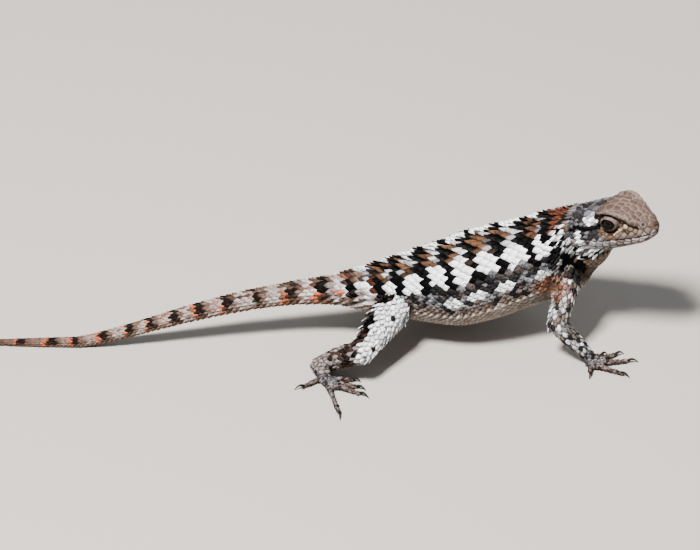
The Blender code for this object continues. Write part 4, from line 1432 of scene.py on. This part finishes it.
TRUNK_ENDS = (59.0, 1.0)
trunk_coat("back_scales", TRUNK_ENDS, [(-56.0, 56.0)], trunk_width, (1.6, 0.18, 0.48), LEAF, 0.7, False)
trunk_coat("neck_scales", (69.5, 58.8), [(-95.0, 95.0)], lambda x: trunk_width(x) * 0.9,
           (1.8, 0.2, 0.55), LEAF, 0.85)

# %% Flanks, belly and throat
trunk_coat("flank_scales", TRUNK_ENDS, [(56.0, 101.0), (-101.0, -56.0)], lambda x: trunk_width(x) * 0.72,
           (1.55, 0.15, 0.26), LEAF, 0.75)
trunk_coat("belly_scales", (62.0, 1.0), [(101.0, 259.0)], lambda x: trunk_width(x) * 0.72,
           (1.5, 0.08, 0.2), SMALL_LEAF, 0.75)
trunk_coat("throat_base_scales", (69.5, 62.0), [(95.0, 265.0)], lambda x: 1.9,
           (1.7, 0.12, 0.4), SMALL_LEAF, 0.7)


# %% Tail
def tail_width(x):
    return max(0.75, min(2.5, 0.48 * tail_radius(x) + 0.55))


tail_coat = Coat()
ring_scales(tail_coat, 1.4, -TAIL_LENGTH + 1.0, (-180.0, 180.0), tail_width, (1.75, 0.2, 0.26))
tail_coat.build("tail_scales", LEAF, SCALE_HORN)

# %% [markdown]
# ## An even spread of scales on limbs and head
# Around knees, elbows and jaws no straight rows fit. There, points are scattered at a set distance
# and then pushed apart a few times: each point moves to the middle of the skin that is nearest to
# it. The result is close to a honeycomb, as real skin grows.

# %% Spread seeds over part of the skin
area_draw = random.Random(21)


def spread_seeds(indices, spacing, fixed=(), rounds=3):
    """Evenly spread points of the skin: returns each point's place on the skin with its normal; fixed
    points keep their place.
    """
    order = list(indices)
    area_draw.shuffle(order)
    cell = {}
    kept = []
    widest = max(spacing(index) for index in order)

    def key(point):
        return tuple(math.floor(v / widest) for v in point)

    def crowded(point, distance):
        for step in itertools.product((-1, 0, 1), repeat=3):
            near = tuple(a + b for a, b in zip(key(point), step))
            for other, other_distance in cell.get(near, ()):
                if (other - point).length < 0.5 * (distance + other_distance):
                    return True
        return False

    for point, distance in fixed:
        cell.setdefault(key(point), []).append((point, distance))
    for index in order:
        point = skin_points[index]
        distance = spacing(index) * 0.86
        if not crowded(point, distance):
            kept.append(index)
            cell.setdefault(key(point), []).append((point, distance))
    spots = [skin_points[index].copy() for index in kept]
    anchors = [point for point, _ in fixed]
    for _ in range(rounds):
        tree = KDTree(len(spots) + len(anchors))
        for number, spot in enumerate(spots + anchors):
            tree.insert(spot, number)
        tree.balance()
        sums = [Vector() for _ in spots]
        counts = [0] * len(spots)
        for index in order:
            number = tree.find(skin_points[index])[1]
            if number < len(spots):
                sums[number] += skin_points[index]
                counts[number] += 1
        spots = [sums[k] / counts[k] if counts[k] else spots[k] for k in range(len(spots))]
    return [on_skin(spot)[:2] for spot in spots]


print("points of the skin to spread scales over", len(skin_points))

# %% [markdown]
# ## Scales on arms and legs
# The scales of the limbs point down towards the hand or foot. They are larger on the legs than on
# the arms and smaller on the underside, and along the back of the thigh they stand up like thorns.

# %% Arms and legs
def limb_scale_width(limb, part, share, turn):
    base = 1.65 if "leg" in limb else 1.5
    return base * (1.0 - 0.2 * part * share) * (1.0 - 0.25 * faces_down(turn, 0.2, 0.6))


limb_readings = {index: limb_reading(skin_points[index])
                 for index, kind in enumerate(skin_kinds) if kind == "limb"}
for limb, (joints, _, _, _) in LIMBS.items():
    chosen = [index for index, reading in limb_readings.items() if reading[0] == limb]
    limb_coat = Coat()
    ways = [(Vector(end) - Vector(start)).normalized() for start, end in zip(joints, joints[1:])]
    for spot, normal in spread_seeds(chosen, lambda index: limb_scale_width(*limb_readings[index][:4])):
        _, part, share, turn, _ = limb_reading(spot)
        along = ways[part]
        if part == 0 and share > 0.75:
            along = along.lerp(ways[1], (share - 0.75) * 2.0)
        wide = limb_scale_width(limb, part, share, turn)
        lift = 0.26 * wide * (1.0 - 0.5 * faces_down(turn, 0.2, 0.6))
        if part == 0 and "leg" in limb and faces_rear(limb, turn) > 0.7:
            lift *= 2.5
        colour = limb_colour(limb, part, share, turn, spot) * area_draw.uniform(0.9, 1.06)
        map_place = in_map(0.5 * part + 0.5 * share, (turn % 360.0) / 360.0)
        limb_coat.add(spot - along * 0.55 * wide, normal, along, wide * 1.7, wide * 1.15, wide * 0.18,
                      lift, 3.4, colour, map_place, 0.8)
    limb_coat.build(limb + "_scales", LEAF, SCALE_HORN, 0.85, True)

# %% Hands and feet
def toe_reading(point):
    """The toe nearest to a point: its line, the share along it and the distance."""
    best = None
    for limb, toe, nail in TOES:
        if (point - toe[4]).length < 14.0:
            distance, share = near_line(point, [toe[0], toe[4], toe[8]])
            if best is None or distance < best[2]:
                best = (toe, share, distance)
    return best


for limb, (joints, kind, place, mirror) in LIMBS.items():
    middle = Vector((place[0], place[1], 1.0))
    chosen = [index for index, word in enumerate(skin_kinds)
              if word == "foot" and (skin_points[index] - middle).length < FOOT_REACH[kind]]
    foot_coat = Coat()
    for spot, normal in spread_seeds(chosen, lambda index: 1.05, rounds=2):
        reading = toe_reading(spot)
        on_toe = reading is not None and reading[2] < 1.3
        if on_toe:
            back = reading[0][8] - reading[0][0]
            colour = toe_colour(spot, reading[1])
        else:
            back = direction(place[2], 0.0)
            colour = foot_colour(spot)
        colour = colour * area_draw.uniform(0.85, 1.1)
        reach = spot - middle
        map_place = (0.5 + reach.x / 46.0, 0.5 + reach.y / 46.0 + (0.0 if normal.z > 0 else 0.002))
        foot_coat.add(spot - back.normalized() * 0.5, normal, back, 1.6, 1.15, 0.14, 0.2, 1.2,
                      colour, map_place, 0.6)
    name = limb + ("_foot_scales" if kind == "leg" else "_hand_scales")
    foot_coat.build(name, SMALL_LEAF, SCALE_HORN, 0.85, True)

# %% [markdown]
# ## Claws
# Each toe ends in a dark, curved claw, thickest at its root. A rod of shrinking rings along a curved
# line gives it, cut off flat where it would sink into the ground. Its horn is smooth, with a dull
# gloss.

# %% Claws
CLAW_HORN = hide_material("dark_claw_horn", 0.42, 0.15, 0.1)
claw_bm = bmesh.new()
claw_bm.verts.layers.float.new("turn")
for _, toe, nail in TOES:
    rod(claw_bm, nail, [0.44 * (1.0 - index / 8) ** 0.8 + 0.06 for index in range(9)], 10)
for vert in claw_bm.verts:
    vert.co.z = max(vert.co.z, 0.03)
bmesh.ops.recalc_face_normals(claw_bm, faces=claw_bm.faces)
claw_mesh = mesh_from(claw_bm, "claws")
store_colours(claw_mesh, np.array([shade(14, 11, 10)] * len(claw_mesh.vertices)))
finish_piece("claws", claw_mesh, CLAW_HORN, sharp=60.0)

# %% [markdown]
# ## Plates of the head
# The top of the head has no overlapping scales: its plates meet edge to edge in a mosaic. Such a
# mosaic is a Voronoi pattern. Seeds are set where the real animal has its plates, each plate takes
# the skin nearer to its seed than to any other, and its outline is shrunk a little for the seam.


# %% Outline of one plate
def part_way(here, there, share):
    return here[0] + (there[0] - here[0]) * share, here[1] + (there[1] - here[1]) * share


def clip_outline(outline, point, way):
    """Cut an outline by a line, and keep the side that the way points away from."""
    kept = []
    past = [(x - point[0]) * way[0] + (y - point[1]) * way[1] for x, y in outline]
    for index, first in enumerate(past):
        following = (index + 1) % len(outline)
        second = past[following]
        if first <= 0:
            kept.append(outline[index])
        if first * second < 0:
            kept.append(part_way(outline[index], outline[following], first / (first - second)))
    return kept


def plate_outline(seed, seeds, tree):
    """Corners of a plate in its own plane, and the plane's two axes."""
    spot, normal, size = seed[:3]
    across = normal.orthogonal().normalized()
    upward = normal.cross(across)
    reach = size * 1.25
    outline = [(-reach, -reach), (reach, -reach), (reach, reach), (-reach, reach)]
    for turn in (0.785, 2.356, 3.927, 5.498):
        way = (math.cos(turn), math.sin(turn))
        outline = clip_outline(outline, (way[0] * reach, way[1] * reach), way)
    for _, number, distance in tree.find_n(spot, 14):
        other = seeds[number]
        if distance < 1e-4 or other[1].dot(normal) < -0.2:
            continue
        offset = other[0] - spot
        flat = (offset.dot(across), offset.dot(upward))
        long = math.hypot(*flat)
        if long < 1e-4:
            continue
        share = size / (size + other[2])
        cut = (flat[0] * share, flat[1] * share)
        outline = clip_outline(outline, cut, (flat[0] / long, flat[1] / long))
        if len(outline) < 3:
            return [], across, upward
    return outline, across, upward


def rounded(outline, cut):
    """Cut each corner of an outline into two."""
    points = []
    for index, here in enumerate(outline):
        points.append(part_way(here, outline[index - 1], cut))
        points.append(part_way(here, outline[(index + 1) % len(outline)], cut))
    return points


print("corners of a rounded square", len(rounded([(0, 0), (1, 0), (1, 1), (0, 1)], 0.22)))

# %% Build a mosaic of plates
SEAM = 0.09
# How far in, how high and how much of the rim's colour: the foot, shoulder and top of a plate
PLATE_STEPS = ((1.0, -0.16, 0.55), (0.97, 0.6, 1.0), (0.84, 0.95, 0.0))


def mosaic(name, seeds, material):
    """Seeds are (spot, normal, size, height, colour, rim colour, map place)."""
    tree = KDTree(len(seeds))
    for number, seed in enumerate(seeds):
        tree.insert(seed[0], number)
    tree.balance()
    points = []
    faces = []
    colours = []
    places = []
    for seed in seeds:
        outline, across, upward = plate_outline(seed, seeds, tree)
        if len(outline) < 3:
            continue
        ring = rounded(outline, 0.22)
        count = len(ring)
        spot, normal, size, height, colour, rim, map_place = seed
        start = len(points)
        middle = [sum(values) / count for values in zip(*ring)]
        centre = spot + across * middle[0] + upward * middle[1]
        shrink = max(0.55, 1.0 - SEAM / max(size, 0.3))
        for inset, lift, tone in PLATE_STEPS:
            for flat in ring:
                edge = spot + across * flat[0] + upward * flat[1]
                here = centre + (edge - centre) * (shrink * inset)
                points.append(on_skin(here)[0] + normal * (height * lift if lift > 0 else lift))
                colours.append(rim * 0.6 if lift < 0 else mix(colour, rim, tone))
                reach = here - spot
                places.append((map_place[0] + reach.dot(across) * 0.0012 / size,
                               map_place[1] + reach.dot(upward) * 0.0012 / size))
        points.append(on_skin(centre)[0] + normal * height)
        colours.append(colour)
        places.append(map_place)
        for index in range(count):
            following = (index + 1) % count
            for low in (start, start + count):
                high = low + count
                faces.append((low + index, low + following, high + following, high + index))
            crown = start + 2 * count
            faces.append((crown + index, crown + following, crown + count))
        faces.append(tuple(range(start + count - 1, start - 1, -1)))
    covered.extend(tuple(seed[0]) for seed in seeds)
    mesh = bpy.data.meshes.new(name)
    mesh.from_pydata(points, [], faces)
    store_map(mesh, np.array(places))
    store_colours(mesh, np.array(colours))
    print(name, "plates", len(seeds))
    finish_piece(name, mesh, material, sharp=50.0)


# %% [markdown]
# ## Setting the plates
# The large plates on the crown come in pairs with a row down the middle: nose, brow and crown. The
# lips carry two rows of oblong plates above the mouth and three below. The rest of the head is filled
# with seeds spread at the distance that suits each part, finest round the eye.

# %% Seeds of the named plates
# Behind the snout, out to the side, and size
CROWN_PLATES = [
    (2.4, 0.0, 0.8), (3.9, 0.0, 0.7), (5.6, 1.2, 1.0), (5.9, 3.3, 0.95), (7.3, 2.3, 1.0),
    (7.7, 4.4, 0.9), (7.9, 0.0, 1.1), (8.9, 2.2, 1.2), (9.3, 4.2, 1.0), (11.2, 1.0, 1.2),
    (11.4, 3.2, 1.3), (13.9, 0.0, 1.4), (13.9, 3.5, 1.6), (13.6, 5.7, 0.9), (16.9, 1.3, 1.3),
    (16.9, 4.2, 1.5), (19.4, 0.0, 1.9), (19.7, 3.2, 1.4), (19.9, 5.6, 1.2), (22.4, 2.0, 1.4),
    (22.6, 4.8, 1.3), (11.6, 5.4, 0.9), (16.3, 6.3, 0.9),
]
NOSTRIL = (3.6, 3.0, 2.1)


def side_spot(behind, side, rise):
    """Where the skin is, looking in from the side."""
    start = head_point(behind, 16.0 * side, rise)
    spot, normal, _, _ = skin_tree.ray_cast(start, HEAD_LEFT * -side)
    return spot, normal


def top_spot(behind, out):
    spot, normal, _, _ = skin_tree.ray_cast(head_point(behind, out, 16.0), HEAD_UP * -1.0)
    return spot, normal


def nostril_spot(side):
    return on_skin(head_point(NOSTRIL[0], NOSTRIL[1] * side, NOSTRIL[2]))[:2]


named = []
for behind, out, size in CROWN_PLATES:
    for side in ((1,) if out == 0.0 else (1, -1)):
        spot, normal = top_spot(behind, out * side)
        if spot is not None:
            named.append((spot, normal, size, "crown"))
for side in (1, -1):
    for row, lift in enumerate((0.5, -0.5, 1.35, -1.35, -2.2)):
        size = 1.25 if abs(lift) < 1.0 else 1.2
        behind = 1.7 + 0.3 * row
        while behind < MOUTH_LENGTH:
            spot, normal = side_spot(behind, side, mouth_level(behind) + lift)
            if spot is not None:
                named.append((spot, normal, size, "lip"))
            behind += 2.3
print("named plates", len(named))


# %% Fill the rest of the head
CHIN_DEPTH = 3.0
TEMPLE_START = 19.5
LIDS_END = 3.9
SOCKET_END = 5.4


def head_spacing(index):
    behind, out, rise = head_reading(skin_points[index])
    side = side_of(out)
    eye_gap = (skin_points[index] - eye_centre(side)).length
    if eye_gap < LIDS_END:
        return 0.75
    if eye_gap < SOCKET_END:
        return 1.05
    if rise < mouth_level(behind) - CHIN_DEPTH:
        return 1.45
    if behind > TEMPLE_START:
        return 1.3
    return 1.6 if rise > 5.0 else 1.4


def bare_spot(point):
    """True in the eye's opening, the ear and the nose, where no plate lies."""
    behind, out, rise = head_reading(point)
    side = side_of(out)
    if lid_reach(point, side) < LID_RIM:
        return True
    if 3.8 < behind < 19.0 and brow_line_gap(point, side) < 0.55:
        return True
    if abs(out) > 6.0 and oval_reach(behind, rise, EAR, (1.4, 2.2)) < 1.0:
        return True
    if (point - nostril_spot(side)[0]).length < 1.7:
        return True
    lip = rise - mouth_level(behind)
    return abs(lip) < 0.2 and behind < 21.0


chosen = [index for index, kind in enumerate(skin_kinds)
          if kind == "head" and not bare_spot(skin_points[index])]
fixed = [(spot, size * 1.9) for spot, _, size, _ in named]
filled = spread_seeds(chosen, head_spacing, fixed)
print("filled seeds", len(filled))

# %% Plates, and pointed scales at the back of the head
plates = []
pointed = Coat()
head_draw = random.Random(8)


def head_map(behind, out, rise):
    around = math.atan2(rise + 1.5, out) / (2.0 * math.pi) % 1.0
    return in_map(min(max(behind / 31.0, 0.0), 1.0), around, 0.04)


def add_plate(spot, normal, size, family):
    behind, out, rise = head_reading(spot)
    colour = head_colour(behind, out, rise, spot) * head_draw.uniform(0.9, 1.08)
    place = head_map(behind, out, rise)
    edge = PLATE_EDGE * (1.0 - 0.4 * rear_of_crown(behind))
    rim = colour * (0.7 if family == "lip" else 0.5)
    if on_crown(behind, rise):
        rim = mix(colour, edge, 0.85)
    height = 0.34 if size > 0.8 else 0.22
    if rise < mouth_level(behind) - CHIN_DEPTH:
        height = 0.14
    if family == "lip":
        height = 0.2
    plates.append((spot, normal, size, height, colour, rim, place))


for spot, normal, size, family in named:
    add_plate(spot, normal, size, family)
for spot, normal in filled:
    behind, out, rise = head_reading(spot)
    side = side_of(out)
    if bare_spot(spot):
        continue
    lip = rise - mouth_level(behind)
    eye_gap = (spot - eye_centre(side)).length
    if behind > TEMPLE_START and lip > -7.0 and (rise <= 6.0 or behind > 23.5):
        colour = head_colour(behind, out, rise, spot) * head_draw.uniform(0.9, 1.06)
        wide = 1.3 + 0.06 * (behind - TEMPLE_START)
        pointed.add(spot + AHEAD * 0.6 * wide, normal, AHEAD * -1.0, wide * 1.7, wide * 1.1, wide * 0.16,
                    wide * 0.38, 7.0, colour, head_map(behind, out, rise), 0.6)
        continue
    size = 0.36 if eye_gap < LIDS_END else (0.52 if eye_gap < SOCKET_END else 0.75)
    add_plate(spot, normal, size, "small")
mosaic("head_plates", plates, PLATE_HORN)
pointed.build("temple_scales", LEAF, SCALE_HORN, 0.9)

# %% [markdown]
# ## Spiny guards in front of the ear
# A few long pointed scales lean back over the front rim of the ear and shield it from grass.

# %% Ear guards
guards = Coat()
for side in (1, -1):
    for index in range(5):
        spot, normal = side_spot(23.9 + 0.2 * index, side, 3.2 - 1.35 * index)
        lean_out = (normal * 0.9 + HEAD_UP * (0.2 - 0.08 * index)).normalized()
        guards.add(spot + AHEAD * 0.5, lean_out, AHEAD * -1.0 - HEAD_UP * 0.1, 3.3, 1.9, 0.4, 0.9, 6.0,
                   mix(CHALK, SILVER, 0.3), head_map(23.9, 9.0 * side, 3.2 - 1.35 * index))
guards.build("ear_guards", LEAF, SCALE_HORN)

# %% [markdown]
# ## Fill the bare spots
# Where rows end, in armpits, groins and folds, some skin is still bare. Points of the skin that are
# far from every scale are gathered, thinned to an even spread and given small flat scales. Where the
# trunk swells into a limb, a smaller gap already counts.

# %% Fill the bare spots
BARE_GAP = {"spine": 1.9, "limb": 1.25, "foot": 1.3, "head": 2.2}
cover_tree = KDTree(len(covered))
for number, place in enumerate(covered):
    cover_tree.insert(place, number)
cover_tree.balance()
bare = []
for index, kind in enumerate(skin_kinds):
    point = skin_points[index]
    near_limb = kind == "spine" and skin_readings[index][2] > 0.3
    gap = 1.2 if near_limb else BARE_GAP[kind]
    if cover_tree.find(point)[2] > gap and not (kind == "head" and bare_spot(point)):
        bare.append(index)
fill_coat = Coat()
for spot, normal in spread_seeds(bare, lambda index: 1.3, rounds=2):
    reading = spine_reading(np.array([spot]))[0]
    kind = place_kind(spot, reading)
    if kind == "limb":
        limb, part = limb_reading(spot)[:2]
        back = Vector(LIMBS[limb][0][part + 1]) - Vector(LIMBS[limb][0][part])
    elif kind == "head":
        back = AHEAD * -1.0
    else:
        back = spine_frame(spine_place(reading[0]))[1] * -1.0
    colour = skin_colour(spot, kind, reading) * area_draw.uniform(0.85, 1.1)
    map_place = in_map((spot.x + 120.0) / 240.0, (spot.z + spot.y + 50.0) / 150.0, 0.05)
    fill_coat.add(spot - back.normalized() * 0.6, normal, back, 1.9, 1.4, 0.12, 0.16, 2.6,
                  colour, map_place, 0.6)
fill_coat.build("small_fold_scales", SMALL_LEAF, SCALE_HORN, 0.6, True)

# %% [markdown]
# ## Nostril discs
# The nostril opens in the middle of a round raised plate. A profile is spun about the disc's axis.


# %% Nostrils
# Half the outline of the disc from its hidden rim to the pit: distance from the axis, and height
NOSTRIL_PROFILE = ((1.8, -0.8), (1.75, -0.3), (1.55, 0.0), (1.32, -0.05), (1.18, 0.18), (0.9, 0.32),
                   (0.66, 0.3), (0.5, 0.16), (0.4, 0.1))


def nostril_disc(bm, side):
    earlier = set(bm.verts)
    verts = [bm.verts.new((radius, 0.0, height)) for radius, height in NOSTRIL_PROFILE]
    edges = [bm.edges.new(pair) for pair in zip(verts, verts[1:])]
    bmesh.ops.spin(bm, geom=verts + edges, cent=(0, 0, 0), axis=(0, 0, 1), angle=math.tau,
                   steps=28, use_merge=True)
    bmesh.ops.holes_fill(bm, edges=[edge for edge in bm.edges if edge.is_boundary])
    bmesh.ops.transform(bm, matrix=stand_on(*nostril_spot(side)),
                        verts=[vert for vert in bm.verts if vert not in earlier])


nose_bm = bmesh.new()
for side in (1, -1):
    nostril_disc(nose_bm, side)
bmesh.ops.recalc_face_normals(nose_bm, faces=nose_bm.faces)
nose_mesh = mesh_from(nose_bm, "nostrils")
nose_colours = []
for vertex in nose_mesh.vertices:
    away = (vertex.co - nostril_spot(side_of(head_reading(vertex.co)[1]))[0]).length
    # Painted shade: a dark ring in the groove round the raised plate, and the nostril's pit painted dark.
    plate = mix(shade(92, 79, 75), shade(48, 39, 36), bell(away - 1.33, 0.16))
    nose_colours.append(mix(SLATE, plate, smoothstep((away - 0.48) / 0.15)))
store_colours(nose_mesh, np.array(nose_colours))
finish_piece("nostril_discs", nose_mesh, PLATE_HORN)

# %% [markdown]
# ## Eyes
# The eye is a wet, nearly black ball: a round pupil, a thin bronze ring and a dark iris. The ball is a
# sphere whose pole looks outwards, so rings of vertices run round the pupil and can carry the colours.


# %% Eyeballs
WET_EYE, eye_shader = new_material("wet_eye")
eye_tint = add_node(WET_EYE, "Attribute")
eye_tint.attribute_name = "hide"
WET_EYE.node_tree.links.new(eye_tint.outputs["Color"], eye_shader.inputs["Base Color"])
eye_shader.inputs["Roughness"].default_value = 0.08
eye_shader.inputs["Specular IOR Level"].default_value = 0.09
BALL_RADIUS = EYE_RADIUS - 0.06
# Pupil, bronze ring, iris and the rest, each up to an angle from the way the eye looks
EYE_ZONES = ((21.0, shade(4, 4, 5)), (25.0, shade(26, 17, 10)), (38.0, shade(12, 8, 6)),
             (181.0, shade(10, 8, 7)))
for side, name in ((-1, "right_eye"), (1, "left_eye")):
    eye_bm = bmesh.new()
    bmesh.ops.create_uvsphere(eye_bm, u_segments=48, v_segments=40, radius=BALL_RADIUS)
    colours = []
    for vert in eye_bm.verts:
        angle = math.degrees(math.acos(max(-1.0, min(1.0, vert.co.z / BALL_RADIUS))))
        colours.append(next(tint for limit, tint in EYE_ZONES if angle < limit))
    bmesh.ops.transform(eye_bm, matrix=stand_on(eye_centre(side), eye_axes(side)[1]), verts=eye_bm.verts)
    eye_mesh = mesh_from(eye_bm, name + "_ball")
    store_colours(eye_mesh, np.array(colours))
    finish_piece(name + "_ball", eye_mesh, WET_EYE, (name,))
